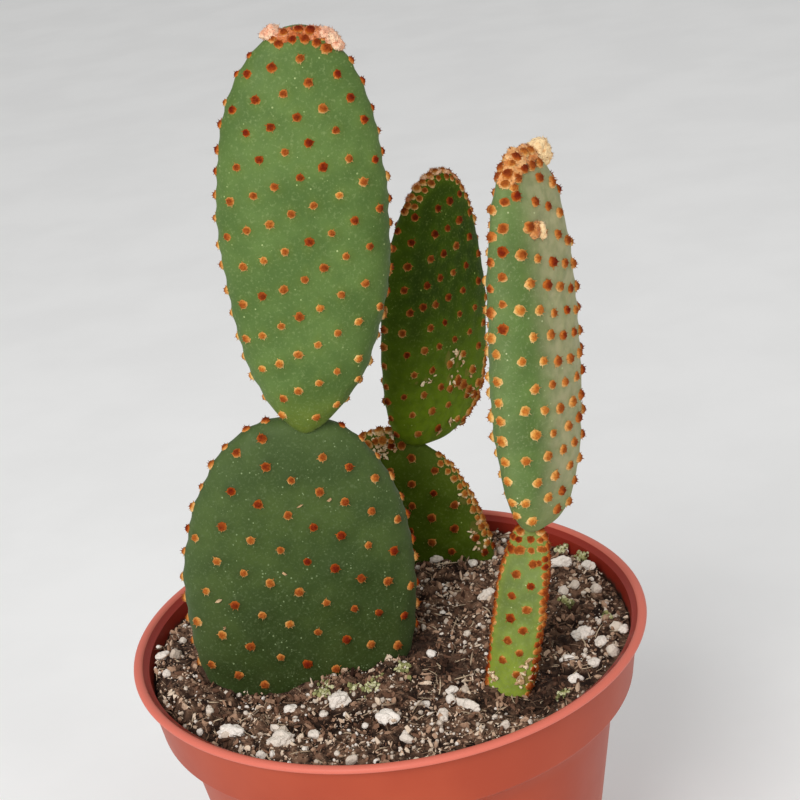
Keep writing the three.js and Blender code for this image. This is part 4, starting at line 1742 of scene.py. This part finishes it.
    def build(self, mix: PottingMix, form: TuftForm) -> None:
        """Makes everything of the pad.

        Args:
            mix: The potting mix that the pad may stand in.
            form: The tufts' form.
        """
        tufts = self.all_tufts(mix)
        LOG.info("%s: %d tufts", self.node, len(tufts.angle))
        self.build_skin(tufts)
        self.build_tufts(tufts, form)
        self.build_wool()
        self.build_chips()


# The potting mix


PEAT = MixFinish("peat", roughness=0.92, specular=0.2)
BARK = ToneFinish("bark crumbs", roughness=0.9, specular=0.2, scale=(
    (0.0, 0x2C180E), (0.3, 0x7A5844), (0.6, 0xB08D73), (0.85, 0xC8AA90), (1.0, 0xE0CAB2)))
PERLITE = ToneFinish("perlite", roughness=0.85, specular=0.3, scale=(
    (0.0, 0x7A6857), (0.35, 0xB29E8B), (0.7, 0xD6C7B7), (1.0, 0xEFE6DC)))
STRAW = ToneFinish("fibres", roughness=0.85, specular=0.25, scale=(
    (0.0, 0x3A281C), (0.5, 0x8A6E58), (1.0, 0xD2BC9E)))
MOSS = ToneFinish("moss", roughness=0.9, specular=0.2, scale=(
    (0.0, 0x62643A), (0.4, 0xA2A068), (1.0, 0xDEDAB4)))


@dataclass(frozen=True)
class PottingMix:
    """Peat and bark that fill the pot, with crumbs, fibres, moss and lumps of perlite.

    The pads are those that stand in it.
    """

    pot: NurseryPot
    pads: list[Pad]
    level: float = 86.6
    # It dips by so many brinks from a share of the rim's radius to the wall
    brink: float = 1.0
    dip: float = 1.2
    dip_from: float = 0.93
    gap: float = 0.3
    bare_height: float = 2.0
    swell: tuple[float, float, float, float, float] = (0.5, 0.19, 1.1, 0.16, -0.4)
    ripple: tuple[float, float, float, float, float] = (0.35, 0.53, 0.31, -0.22, 0.47)
    heap_spread: float = 1.6
    heaps: tuple[tuple[float, float, float, float], ...] = (
        (0, -16, 2.4, 8), (-47, -3, 3.4, 14), (-22, -20, -1.7, 11), (26, -31, -3.0, 8),
        (12, 23, 4.0, 12), (40, 16, 1.4, 13), (8, 46, 1.4, 11), (10, -42, -0.6, 10))
    clumps: Pairs = ((7.0, 0.5), (3.2, 0.6), (1.6, 0.5), (0.8, 0.3))
    grid: int = 250
    crumb_count: int = 9000
    fibre_count: int = 900
    grain_count: int = 2150
    lump_count: int = 110
    crumbs_each: int = 45
    moss_each: int = 46
    grainy_from: float = -0.3
    # Perlite is left out where the painted shade is deeper than this.
    clear_of_shade: float = 0.4
    seed: int = 11
    # White lumps that stand out in the photograph: x, y, radius, how long for its width
    large_lumps: tuple[tuple[float, float, float, float], ...] = (
        (12.3, 24.6, 1.7, 1.7), (19.7, 21.5, 1.2, 1.1), (-11.4, -23.7, 2.2, 1.2), (-21.2, -23.1, 1.3, 1.3),
        (-32.9, -29.5, 2.3, 1.3), (-22.8, -35.6, 2.0, 1.3), (-16.3, -33.6, 1.2, 1.2),
        (-2.3, -32.7, 1.9, 1.5),
        (8.2, -11.1, 1.2, 1.2), (-48.1, 0.1, 1.2, 1.2), (8.7, -34.8, 1.5, 1.6), (38.9, 18.0, 1.8, 1.4),
        (44.7, 15.3, 1.5, 1.2), (48.0, -10.7, 1.2, 1.1), (39.8, -10.4, 2.0, 1.3), (40.1, -22.3, 1.2, 1.2),
        (35.6, -25.9, 1.5, 1.2), (35.5, -17.9, 1.1, 1.4), (13.8, -30.9, 1.5, 3.0), (21.4, 10.4, 1.5, 2.2),
        (-46.7, -8.4, 1.0, 1.6), (1.0, -39.7, 1.1, 1.5), (5.6, -28.1, 0.9, 1.3), (42.6, -14.1, 1.4, 1.2),
        (11.2, -25.7, 1.1, 1.2), (-14.5, -26.8, 0.9, 1.0))
    # Yellow-green mossy lumps: x, y, spread
    moss: Triples = (
        (-14.5, -18.4, 1.9), (-4.8, -20.4, 2.0), (2.1, -16.7, 1.9), (44.0, 22.0, 1.6), (40.0, 27.5, 1.4),
        (38.0, 2.0, 1.2), (33.0, -30.0, 1.4), (-8.5, -19.8, 1.2), (30.0, 14.0, 1.0), (46.0, -3.0, 1.0))
    # Litter banked against the pads: x, y, spread
    litter: Triples = (
        (-29.0, -16.0, 2.2), (-24.5, -18.5, 2.2), (-19.0, -18.5, 1.6), (-13.5, -16.0, 2.0),
        (-8.0, -13.5, 2.0), (-2.0, -10.5, 2.0), (25.5, -26.0, 1.8), (21.0, -29.5, 1.4), (8.0, 27.0, 2.0))
    # Spots of painted shade on the mix, under and between the pads: x, y, radius
    shade_spots: Triples = (
        (28.5, -30.5, 6.5), (33.0, -25.0, 4.5), (8.0, 27.0, 4.0), (-21.0, -20.5, 3.0), (-14.0, -12.0, 3.0),
        (6.0, -6.0, 6.0), (11.0, -16.0, 5.0), (3.0, 8.0, 5.0), (36.0, -12.0, 4.0))

    def height(self, x: Array, y: Array) -> Array:
        """The mix's surface: its level, two sets of crossed waves, and bell-shaped heaps.

        Args:
            x: Places across.
            y: Places to the back.

        Returns:
            Heights.
        """
        rise, wave_x, phase_x, wave_y, phase_y = self.swell
        result = self.level + rise * np.sin(x * wave_x + phase_x) * np.cos(y * wave_y + phase_y)
        rise, along_x, along_y, over_x, over_y = self.ripple
        result = result + rise * np.sin(x * along_x + y * along_y) * np.cos(x * over_x + y * over_y)
        for heap_x, heap_y, heap, radius in self.heaps:
            deviations = np.hypot(x - heap_x, y - heap_y) / radius * self.heap_spread
            result = result + heap * np.exp(-deviations ** 2 / 2)
        return result

    def rough_height(self, x: Array, y: Array) -> Array:
        """The surface with its clumps: layered noise over the smooth height."""
        flat = np.stack([x, y, np.zeros_like(x)], -1)
        return self.height(x, y) + layered_noise(flat, self.clumps, self.seed)

    def wall(self) -> tuple[float, list[tuple[float, float]]]:
        """Fits the mix into the pot.

        Returns:
            The radius of its brink, and its side as radius and height from the brink down.
        """
        lip, step, *rest = self.pot.inside()[:-1]
        brink = self.level - self.brink
        share = (brink - step[1]) / (lip[1] - step[1])
        edge = step[0] + share * (lip[0] - step[0]) - self.gap
        lower = [(radius - self.gap, height) for radius, height in (step, *rest)]
        lower[-1] = (lower[-1][0], lower[-1][1] + self.gap)
        return edge, lower

    def block(self) -> Surface:
        """The block of mix: a square grid drawn to a disc, over a side that fits the pot.

        A square's point goes to the disc at a radius of its larger coordinate, and at an
        angle in proportion to the smaller over the larger.

        Returns:
            The block, with "sunk" at 1 where painted shade darkens its hollows and shaded spots.
        """
        edge, lower = self.wall()
        line = np.linspace(-1, 1, self.grid)
        u, v = np.meshgrid(line, line, indexing="ij")
        flat = np.abs(u) > np.abs(v)
        larger = np.where(flat, u, v)
        smaller = np.where(flat, v, u)
        ratio = np.divide(smaller, larger, out=np.zeros_like(larger), where=larger != 0)
        angle = np.where(flat, math.pi / 4 * ratio, math.pi / 2 - math.pi / 4 * ratio)
        x, y = edge * larger * np.cos(angle), edge * larger * np.sin(angle)
        low = smooth_step(self.dip_from, 1.0, np.hypot(x, y) / edge)
        z = self.rough_height(x, y) * (1 - low) + (self.level - self.dip * self.brink) * low
        # Painted shade in the hollows: darker where the mix lies below its smooth height.
        hollow_shade = smooth_step(0.5, -0.9, z - self.height(x, y)) * (1 - low)
        top = np.stack([x, y, z], -1).reshape(-1, 3)
        # Painted shade also darkens the spots under and between the pads.
        hollow_shade = np.maximum(hollow_shade.ravel(), 0.9 * self.shade_at(top))
        number = np.arange(self.grid ** 2).reshape(self.grid, self.grid)
        quads = np.stack([number[:-1, :-1], number[1:, :-1], number[1:, 1:], number[:-1, 1:]], -1)
        border = np.concatenate([number[:-1, 0], number[-1, :-1], number[:0:-1, -1], number[0, :0:-1]])
        ring = top[border, :2] / edge
        rings = [np.column_stack([ring * radius, np.full(len(ring), height)]) for radius, height in lower]
        points = np.concatenate([top, *rings, [[0.0, 0.0, lower[-1][1]]]])
        around = len(top) + np.arange(len(border))
        levels = [border, *(around + row * len(border) for row in range(len(lower)))]
        sides = [np.stack([above, below, np.roll(below, -1), np.roll(above, -1)], -1)
                 for above, below in zip(levels, levels[1:])]
        bottom = fan_faces(len(points) - 1, levels[-1])[:, ::-1]
        sunk = np.concatenate([hollow_shade, np.zeros(len(points) - len(top))])
        return Surface(points, [quads.reshape(-1, 4), *sides, bottom], {"sunk": sunk})

    def scatter(self, count: int, clear: float, rng: np.random.Generator) -> Array:
        """Places strewn evenly over the mix, clear of the pads.

        Args:
            count: How many are drawn. Those inside a pad are then left out.
            clear: How far outside a pad, as a share of its size.
            rng: Random numbers.

        Returns:
            Places on the rough surface.
        """
        edge, _ = self.wall()
        radius = (edge - 0.5) * np.sqrt(rng.uniform(0, 1, count))
        angle = rng.uniform(0, 2 * math.pi, count)
        x, y = radius * np.cos(angle), radius * np.sin(angle)
        dip = self.dip * self.brink * smooth_step(self.dip_from, 1.0, radius / edge)
        places = np.stack([x, y, self.rough_height(x, y) - dip], -1)
        outside = np.all([pad.depth_of(places) > 1 + clear for pad in self.pads], axis=0)
        return places[outside]

    def heaped(self, spots: Triples, each: int, rng: np.random.Generator) -> Array:
        """Places heaped round spots.

        Args:
            spots: Each spot's x, y and spread.
            each: How many places it gets.
            rng: Random numbers.

        Returns:
            The places.
        """
        x, y, spread = np.repeat(np.array(spots), each, axis=0).T
        x = x + rng.normal(0, 0.5, len(x)) * spread
        y = y + rng.normal(0, 0.5, len(y)) * spread
        lift = 0.45 * spread * np.exp(-rng.uniform(0, 2, len(x)))
        return np.stack([x, y, self.rough_height(x, y) + lift], -1)

    def shade_at(self, places: Array) -> Array:
        """How deep the painted shade on the mix is at places, from 0 to 1."""
        return np.max([np.exp(-((places[..., 0] - x) ** 2 + (places[..., 1] - y) ** 2) / radius ** 2)
                       for x, y, radius in self.shade_spots], axis=0)

    def patches(self, places: Array) -> Array:
        """Lighter and darker patches of the mix, about 0."""
        return layered_noise(places * (1, 1, 0), ((4.2, 0.6), (1.9, 0.45)), self.seed)

    def build_block(self) -> None:
        """Makes the block."""
        block = self.block().piece("mix_block", PEAT.material)
        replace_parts(block, "soil")

    def build_crumbs(self, rng: np.random.Generator) -> None:
        """Makes crumbs of peat and bark, many small and few large.

        Args:
            rng: Random numbers.
        """
        places = self.scatter(self.crumb_count, 0.02, rng)
        places = np.concatenate([places, self.heaped(self.litter, self.crumbs_each, rng)])
        size = 0.2 + 0.65 * rng.uniform(0, 1, len(places)) ** 4
        sizes = size[:, None] * rng.uniform([0.9, 0.45, 0.25], [1.9, 1.0, 0.7], (len(places), 3))
        places[:, 2] += 0.25 * size
        # Crumbs in the spots of painted shade are darkened with it.
        tone = rng.uniform(0, 1, len(places)) * (1 - 0.95 * self.shade_at(places))
        tone = np.clip(tone * (1.08 + self.patches(places)), 0, 1)
        surface = strewn(places, sizes, 0, 0.3, rng, {"tone": tone})
        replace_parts(surface.piece("mix_crumbs", BARK.material, smooth=False), "soil")

    def build_perlite(self, rng: np.random.Generator) -> None:
        """Makes fine grains, middling lumps, and the large ones that stand out.

        Args:
            rng: Random numbers.
        """
        grains = self.scatter(self.grain_count, 0.03, rng)
        # Perlite is left out of the spots of painted shade, so they stay dark.
        unshaded = self.shade_at(grains) < self.clear_of_shade
        grains = grains[unshaded & (self.patches(grains) > self.grainy_from)]
        grain = 0.16 + 0.46 * rng.uniform(0, 1, len(grains)) ** 2.6
        grains[:, 2] += 0.35 * grain
        sizes = grain[:, None] * rng.uniform(0.7, 1.25, (len(grains), 3))
        tone = rng.uniform(0.35, 1, len(grains))
        parts = [strewn(grains, sizes, 0, 0.2, rng, {"tone": tone})]
        lumps = self.scatter(self.lump_count, 0.06, rng)
        lumps = lumps[self.shade_at(lumps) < self.clear_of_shade]
        lump = 0.6 + 0.75 * rng.uniform(0, 1, len(lumps)) ** 2
        lumps[:, 2] += 0.3 * lump
        sizes = lump[:, None] * rng.uniform(0.65, 1.25, (len(lumps), 3))
        tone = rng.uniform(0.5, 1, len(lumps))
        parts.append(strewn(lumps, sizes, 1, 0.16, rng, {"tone": tone}))
        x, y, radius, length = np.array(self.large_lumps).T
        centres = np.stack([x, y, self.rough_height(x, y) + 0.25 * radius], -1)
        sizes = np.stack([radius * np.sqrt(length), radius / np.sqrt(length), radius * 0.7], -1)
        layers = ((1.7, 0.3), (0.8, 0.26), (0.4, 0.13))
        ball, faces = round_lump(3)
        for centre, size in zip(centres, sizes):
            turn = rng.uniform(0, 2 * math.pi)
            local = ball * size
            lumpy = 1 + layered_noise(local + centre * 7, layers, self.seed)
            cosine, sine = math.cos(turn), math.sin(turn)
            spin = np.array([[cosine, -sine, 0], [sine, cosine, 0], [0, 0, 1]])
            points = (local * lumpy[:, None]) @ spin.T + centre
            parts.append(Surface(points, [faces], {"tone": np.full(len(points), rng.uniform(0.8, 1))}))
        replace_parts(Surface.joined(parts).piece("perlite", PERLITE.material, smooth=False), "soil")

    def build_fibres(self, rng: np.random.Generator) -> None:
        """Makes thin bent fibres: three-sided tubes along shallow arcs that thin at the ends.

        Args:
            rng: Random numbers.
        """
        rings, sides, lift = 5, 3, (0, 0, 0.3)
        places = self.scatter(self.fibre_count, 0.12, rng)
        count = len(places)
        steps = np.linspace(-0.5, 0.5, rings)
        length = rng.uniform(1.5, 5.5, (count, 1)) * rng.uniform(0.5, 1, (count, 1))
        turn, tilt = rng.uniform(0, 2 * math.pi, count), rng.normal(0, 0.28, count)
        forward, side, up = lying_axes(turn, tilt)
        bend = rng.normal(0, 0.35, (count, 1)) * length
        path = (places[:, None] + np.array(lift) + forward[:, None] * (length * steps)[..., None]
                + side[:, None] * (bend * (steps ** 2 - 0.1))[..., None])
        corner = np.arange(sides) / sides * 2 * math.pi
        ring = np.cos(corner)[:, None] * side[:, None] + np.sin(corner)[:, None] * up[:, None]
        width = rng.uniform(0.07, 0.22, (count, 1)) * (1 - (2 * steps) ** 4 * 0.7)
        points = path[:, :, None] + width[..., None, None] * ring[:, None]
        each = rings * sides
        start = (np.arange(count) * each)[:, None, None]
        ends = np.array([[0, 2, 1], [each - 3, each - 2, each - 1]])
        faces = [(rolled_faces(rings, sides) + start).reshape(-1, 4), (ends + start).reshape(-1, 3)]
        values = {"tone": np.repeat(rng.uniform(0, 1, count), each)}
        surface = Surface(points.reshape(-1, 3), faces, values)
        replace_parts(surface.piece("mix_fibres", STRAW.material), "soil")

    def build_moss(self, rng: np.random.Generator) -> None:
        """Makes mossy patches: heaps of small yellow-green crumbs.

        Args:
            rng: Random numbers.
        """
        places = self.heaped(self.moss, self.moss_each, rng)
        size = rng.uniform(0.2, 0.55, len(places))
        sizes = size[:, None] * rng.uniform(0.6, 1.2, (len(places), 3))
        tone = {"tone": rng.uniform(0, 1, len(places))}
        surface = strewn(places, sizes, 0, 0.3, rng, tone)
        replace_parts(surface.piece("moss", MOSS.material, smooth=False), "soil")

    def build(self) -> None:
        """Makes the block and all that lies on it."""
        rng = np.random.default_rng(self.seed)
        self.build_block()
        self.build_crumbs(rng)
        self.build_perlite(rng)
        self.build_fibres(rng)
        self.build_moss(rng)


# The three plants


# The old skin's near-black root tone darkens the lower pad towards the mix: painted shade, with a brownish
# soil tinge.
OLD_GREEN = PadSkin(
    "old skin", roughness=0.6, specular=0.2, sheen=0.05, sheen_tint=0xCFE3C8, dark=0x34461B,
    light=0x435523, root=0x1C1E02, root_share=0.75, edge=0x54683A, rim_sheen_amount=0.45, speck=0x7E8E64,
    speck_share=0.5, stipple=0.24)
YOUNG_GREEN = PadSkin(
    "young skin", roughness=0.58, specular=0.22, sheen=0.04, sheen_tint=0xD7E8C8, dark=0x48612A,
    light=0x597236, root=0x687418, root_share=0.16, edge=0x4E6630, rim_sheen_amount=0.35, speck=0xA9B87C,
    speck_share=0.08)
SHADED_GREEN = PadSkin(
    "shaded skin", roughness=0.65, specular=0.06, dark=0x243602, light=0x304503, root=0x6A8214,
    root_share=0.62, edge=0x41540E, rim_sheen_amount=0.35, speck=0x8C9C50, speck_share=0.06, scar_amount=0.25)
SHADED_OLD_GREEN = PadSkin(
    "shaded old skin", roughness=0.65, specular=0.08, dark=0x384904, light=0x46580B, root=0x3A4709,
    edge=0x586725, rim_sheen_amount=0.45, speck=0x8E9C58, scar_amount=0.2)
BRIGHT_GREEN = PadSkin(
    "bright skin", roughness=0.55, specular=0.2, dark=0x5E6E38, light=0x6E7F45, root=0xA6BA2E,
    root_share=0.8, edge=0x787038, rim_sheen_amount=0.4, speck=0xB4BE86, speck_share=0.06)
# The grey-green skin's pale side colour is a painted reflection on the right of its face.
GREY_GREEN = PadSkin(
    "grey-green skin", roughness=0.58, specular=0.22, sheen=0.05, sheen_tint=0xDCE8D6, dark=0x475F27,
    light=0x577133, root=0x6F7E36, root_share=0.16, edge=0x7E8B61, rim_sheen_amount=0.3, side=0xA9A27C,
    side_reflection_amount=0.85, speck=0xB8C090)
PINK_WOOL = WoolFinish("pinkish wool", roughness=0.9, specular=0.2, sheen=0.2)
CREAM_WOOL = WoolFinish("cream wool", roughness=0.9, specular=0.2, sheen=0.2, scale=(
    (0.0, 0xB05A24), (0.4, 0xD08A4C), (0.75, 0xE4B47C), (1.0, 0xF0D2A0)))
SHADED_WOOL = WoolFinish("shaded wool", roughness=0.9, specular=0.1, sheen=0.1, scale=(
    (0.0, 0x8A3C12), (0.4, 0xB46A38), (0.75, 0xD89C70), (1.0, 0xE8BE98)))
BRISTLES = BristleFinish("barbed bristles", roughness=0.8, specular=0.1)
SHADED_BRISTLES = BristleFinish(
    "shaded bristles", roughness=0.85, specular=0.05,
    usual=((0.0, 0x4A1404), (0.25, 0x78300A), (0.5, 0xA05A20), (1.0, 0xD0A064)),
    ripe=((0.0, 0x9A4E18), (0.3, 0xB87832), (0.6, 0xD0A058), (1.0, 0xE4C894)))
CORK = ToneFinish("corky chips", roughness=0.85, specular=0.3, scale=(
    (0.0, 0x6A4A32), (0.5, 0xC09A70), (1.0, 0xF0DCB8)))


# The six pads, each lower one before the upper one that grows on it
PADS = (
    Pad(node="front_lower_pad", root=(-20.0, -7.5, 63.0), tip=(-12.8, -7.5, 142.6), turn=2,
        half_width=23.4, half_thickness=7.4, root_power=0.5, tip_power=0.46, bow=0.6,
        start=(-0.6, 2.9), across=(5.4, -2.4), down=(-2.1, -7.0),
        curve=((-0.01, 0.06), (0.08, 0.1), (-0.13, 0.01)), rim_step=4.9, margin=3.1, seed=3,
        socket=(-10.8, -9.8, 139.4), skin_finish=OLD_GREEN, bristles=BRISTLES, slot="old_pad",
        tint_root=0.2, tint_tip=0.15, tint_spread=0.2, tint_left=0.25,
        scars=(Scar(-16.0, 37.0, 0.3, 2), Scar(-16.8, 43.0, 0.3, 1), Scar(-1.0, 44.0, 0.3, 1),
               Scar(-3.3, 49.0, 0.3, 1), Scar(0.4, 63.0, 0.3, 1), Scar(6.4, 64.0, 0.3, 1))),
    Pad(node="front_upper_pad", root=(-10.8, -9.8, 139.4), tip=(-0.3, -9.0, 218.6), turn=2,
        half_width=16.2, half_thickness=5.9, root_power=0.62, tip_power=0.5, skew=0.5, swing=-1.6,
        bow=-0.8, first_tuft=4.5, start=(-2.4, 2.0), across=(-4.3, -1.7), down=(2.75, -5.15),
        curve=((0.1, 0.03), (0.04, -0.09), (0.07, -0.06)), rim_step=4.6, margin=2.9, seed=5,
        skin_finish=YOUNG_GREEN, bristles=BRISTLES, slot="young_pad", tuft_size=0.92,
        tint_root=0.72, tint_tip=-0.05, tint_spread=0.24,
        crowns=(Crown(80, 99, 2.4, (-22.0, -12.0), 0.1),), wool_finish=PINK_WOOL,
        wool=(Wool(98.4, 0, 1.8, 1.9, 1.7, 0.85), Wool(95.6, -14, 1.5, 1.5, 0.4, 0.45),
              Wool(93.2, -16, 1.6, 1.4, 0.3, 0.2), Wool(90.8, -17, 1.6, 1.4, 0.25, 0.4),
              Wool(88.4, -16, 1.6, 1.4, 0.3, 0.2), Wool(86.0, -14, 1.6, 1.5, 0.4, 0.45),
              Wool(83.8, -8, 1.5, 1.6, 0.6, 0.55), Wool(81.8, -2, 1.6, 1.8, 1.1, 0.75),
              Wool(79.9, -2, 1.6, 1.9, 1.4, 0.95), Wool(77.8, -3, 1.5, 1.7, 1.0, 0.9))),
    Pad(node="rear_lower_pad", root=(9.5, 31.0, 66.0), tip=(3.4, 30.5, 120.8), turn=-15,
        half_width=18, half_thickness=5.4, root_power=0.34, tip_power=0.5, bow=0.4,
        start=(0.2, -0.6), across=(4.0, -3.4), down=(-1.3, -5.4), rim_step=4.6, margin=3.0, seed=7,
        socket=(13.3, 29.3, 117.2), socket_bare=4.0, skin_finish=SHADED_OLD_GREEN,
        bristles=SHADED_BRISTLES, slot="old_pad", tint_root=0.15, tint_tip=0.15, edge_rows=(-22.0,),
        crowns=(Crown(84, 110, 1.9, (-20.0, -4.0), 0.7),
                Crown(8, 66, 2.2, (-12.0, 0.0, 10.0), 0.75, 0.9)),
        scars=(Scar(0.5, 52.6, 3.2, 60, 12), Scar(16.0, 37.0, 2.6, 8, 3),
               Scar(16.8, 30.0, 2.6, 12, 4), Scar(17.0, 25.0, 2.2, 10, 2))),
    Pad(node="rear_upper_pad", root=(13.3, 29.3, 117.2), tip=(22.4, 29.6, 177.2), turn=42,
        half_width=14.8, half_thickness=5.0, root_power=0.36, tip_power=0.5, skew=1.2, swing=-2.2,
        bow=0.5, first_tuft=4, start=(0.4, -0.7), across=(4.8, 0.45), down=(-1.75, -5.1),
        curve=((0.21, 0.05), (0.06, -0.05), (-0.05, 0.02)), rim_step=4.2, margin=2.7, seed=13,
        skin_finish=SHADED_GREEN, bristles=SHADED_BRISTLES, slot="young_pad", tuft_size=0.95,
        tint_root=0.4, tint_tip=0.0,
        crowns=(Crown(66, 106, 2.0, (-14.0, -2.0), 0.45, 0.85),
                Crown(-74, -22, 2.3, (-28.0, -14.0, 0.0), 0.5, 1.05)), wool_finish=SHADED_WOOL,
        wool=(Wool(103, 2, 1.2, 0.9, 0.35, 0.5), Wool(99, 4, 1.2, 1.0, 0.45, 0.65),
              Wool(95, 2, 1.3, 1.1, 0.5, 0.8), Wool(91, 0, 1.3, 1.2, 0.55, 0.95),
              Wool(87, -2, 1.3, 1.2, 0.55, 0.9), Wool(82, -2, 1.3, 1.1, 0.5, 0.75),
              Wool(77, -4, 1.3, 1.0, 0.4, 0.85), Wool(72, -6, 1.2, 0.9, 0.35, 0.6)),
        extra_tufts=((-0.6, 13.6), (1.6, 14.6), (3.5, 13.5), (5.8, 11.7), (8.1, 10.0), (10.4, 8.4),
                     (11.8, 10.4), (9.4, 12.2), (12.6, 13.0), (6.8, 16.0)),
        scars=(Scar(0.2, 20.8, 1.8, 0, 6), Scar(3.4, 18.8, 1.5, 1, 4), Scar(7.0, 15.6, 1.6, 3, 2),
               Scar(1.0, 15.6, 1.8, 2, 4), Scar(-5.9, 17.2, 1.1, 0, 4), Scar(-8.3, 17.0, 0.8, 1, 1),
               Scar(6.4, 10.6, 1.4, 4, 2), Scar(1.7, 5.7, 0.9, 1, 4), Scar(-0.8, 3.8, 0.9, 1, 3))),
    Pad(node="right_lower_pad", root=(18.8, -24.4, 70.0), tip=(30.7, -22.6, 119.4), turn=-18,
        half_width=4.7, half_thickness=2.9, root_power=0.5, tip_power=0.3, bow=0.8,
        start=(-1.4, 0.0), across=(0.0, 4.8), down=(3.0, -2.2), rim_step=2.6, margin=2.4, seed=17,
        socket=(32.8, -23.2, 118.8), socket_bare=3.2, skin_finish=BRIGHT_GREEN, bristles=BRISTLES,
        slot="young_pad", tint_root=0.3, tint_tip=0.25, grid_step=0.5,
        crowns=(Crown(-78, 86, 1.9, (-22.0, -4.0, 14.0), 0.2, 0.92),
                Crown(94, 258, 1.9, (-18.0, 0.0, 16.0), 0.2, 0.85),
                Crown(77, 103, 2.8, (-42.0, -30.0), 0.1, 0.9)),
        scars=(Scar(3.2, 19.0, 1.8, 22, 2), Scar(3.4, 22.5, 1.3, 12, 2),
               Scar(-3.4, 18.0, 1.3, 12, 1))),
    Pad(node="right_upper_pad", root=(32.8, -23.2, 118.8), tip=(36.2, -22.0, 193.4), turn=48,
        half_width=11.4, half_thickness=5.2, root_power=0.29, tip_power=0.33, skew=0.2, bow=-0.6,
        first_tuft=4.5, start=(-1.05, 1.0), across=(4.0, -0.85), down=(-2.1, -4.2),
        curve=((-0.05, 0.09), (0.13, 0.08), (0.01, -0.05)), rim_step=4.2, margin=2.7, seed=19,
        skin_finish=GREY_GREEN, bristles=BRISTLES, slot="young_pad", tuft_size=1.08,
        tint_root=0.35, tint_tip=0.12, tint_left=0.7, reflection_from=-0.7, reflection_to=0.05,
        crowns=(Crown(86, 101, 2.1, (-22.0, -8.0, 6.0), 0.3),
                Crown(102, 150, 4.6, (-12.0, 8.0), 0.25)), wool_finish=CREAM_WOOL,
        wool=(Wool(83.3, -2, 2.2, 2.1, 2.7, 1.0), Wool(81.4, -4, 1.5, 1.5, 1.8, 0.95),
              Wool(87.5, -8, 1.7, 2.0, 0.6, 0.5), Wool(90.5, -12, 1.9, 2.1, 0.45, 0.35),
              Wool(93.5, -8, 1.9, 2.1, 0.5, 0.6), Wool(96.5, -12, 1.8, 2.0, 0.4, 0.4),
              Wool(99.5, -8, 1.6, 1.7, 0.4, 0.55), Wool(97.0, -50, 1.5, 1.3, 0.8, 0.3),
              Wool(93.7, -53, 1.1, 1.8, 1.0, 0.95))),
)


# The studio


@dataclass(frozen=True)
class Softbox:
    """A square soft light: where it is, what it faces, its width, power and colour."""

    name: str
    place: tuple[float, float, float]
    aim: tuple[float, float, float]
    width: float
    power: float
    colour: tuple[float, float, float] = (1.0, 1.0, 1.0)

    def build(self) -> None:
        """Makes the light."""
        lamp = bpy.data.lights.new(self.name, "AREA")
        lamp.shape = "SQUARE"
        lamp.size = self.width
        lamp.energy = self.power
        lamp.color = self.colour
        light = bpy.data.objects.new(self.name, lamp)
        light.location = self.place
        light.rotation_euler = (Vector(self.aim) - Vector(self.place)).to_track_quat("-Z", "Y").to_euler()
        bpy.context.scene.collection.objects.link(light)


@dataclass(frozen=True)
class Studio:
    """The photograph's view, soft light from the upper left front, and a pale floor."""

    elevation: float = 22.39
    roll: float = -7.67
    distance: float = 399.5
    rim_height: float = 90.0
    right: float = 2.44
    above: float = 46.74
    lens: float = 85.5
    floor_half: float = 4.0
    ambient: float = 0.55
    softboxes: tuple[Softbox, ...] = (
        Softbox("key", (-0.4, -0.88, 0.8), (0.0, 0.0, 0.12), 0.55, 9.8),
        Softbox("fill", (0.9, -0.9, 0.5), (0.0, 0.0, 0.1), 0.9, 2.2),
    )

    def build_camera(self) -> None:
        """Makes the camera.

        It looks from its elevation above the front at a point that lies right of and above
        the rim's middle on the picture's plane, and is rolled about that line of sight.
        """
        elevation, roll = math.radians(self.elevation), math.radians(self.roll)
        back = Vector((0, -math.cos(elevation), math.sin(elevation)))
        level_right, level_up = Vector((1, 0, 0)), Vector((0, math.sin(elevation), math.cos(elevation)))
        right = math.cos(roll) * level_right + math.sin(roll) * level_up
        up = -math.sin(roll) * level_right + math.cos(roll) * level_up
        aim = right * self.right + up * self.above + Vector((0, 0, self.rim_height))
        turned = Matrix((right, up, back)).transposed().to_4x4()
        camera = bpy.data.objects.new("camera", bpy.data.cameras.new("camera"))
        camera.data.lens = self.lens
        camera.matrix_world = Matrix.Translation((back * self.distance + aim) * MM) @ turned
        bpy.context.scene.collection.objects.link(camera)
        bpy.context.scene.camera = camera

    def build_floor(self) -> None:
        """Makes the floor at the height that the pot stands on."""
        half = self.floor_half
        corners = [(-half, -half, 0), (half, -half, 0), (half, half, 0), (-half, half, 0)]
        mesh = bpy.data.meshes.new("floor")
        mesh.from_pydata(corners, [], [(0, 1, 2, 3)])
        mesh.materials.append(PlainPaper("pale floor", roughness=0.9, specular=0.2).material)
        floor = bpy.data.objects.new("floor", mesh)
        bpy.context.scene.collection.objects.link(floor)

    def build(self) -> None:
        """Makes the camera, floor, lights and sky, and the plain view of colours."""
        self.build_camera()
        self.build_floor()
        for softbox in self.softboxes:
            softbox.build()
        scene = bpy.context.scene
        scene.world = bpy.data.worlds.new("sky")
        scene.world.use_nodes = True
        sky = scene.world.node_tree.nodes["Background"]
        sky.inputs["Color"].default_value = (1.0, 1.0, 1.0, 1.0)
        sky.inputs["Strength"].default_value = self.ambient
        scene.view_settings.view_transform = "Standard"


def main() -> None:
    """Loads the frame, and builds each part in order."""
    logging.basicConfig(level=logging.INFO, format="%(name)s: %(message)s")
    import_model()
    studio = Studio()
    studio.build()
    pot = NurseryPot()
    pot.build()
    mix = PottingMix(pot, [pad for pad in PADS if pad.socket])
    mix.build()
    form = TuftForm()
    for pad in PADS:
        pad.build(mix, form)


if __name__ == "__main__":
    main()
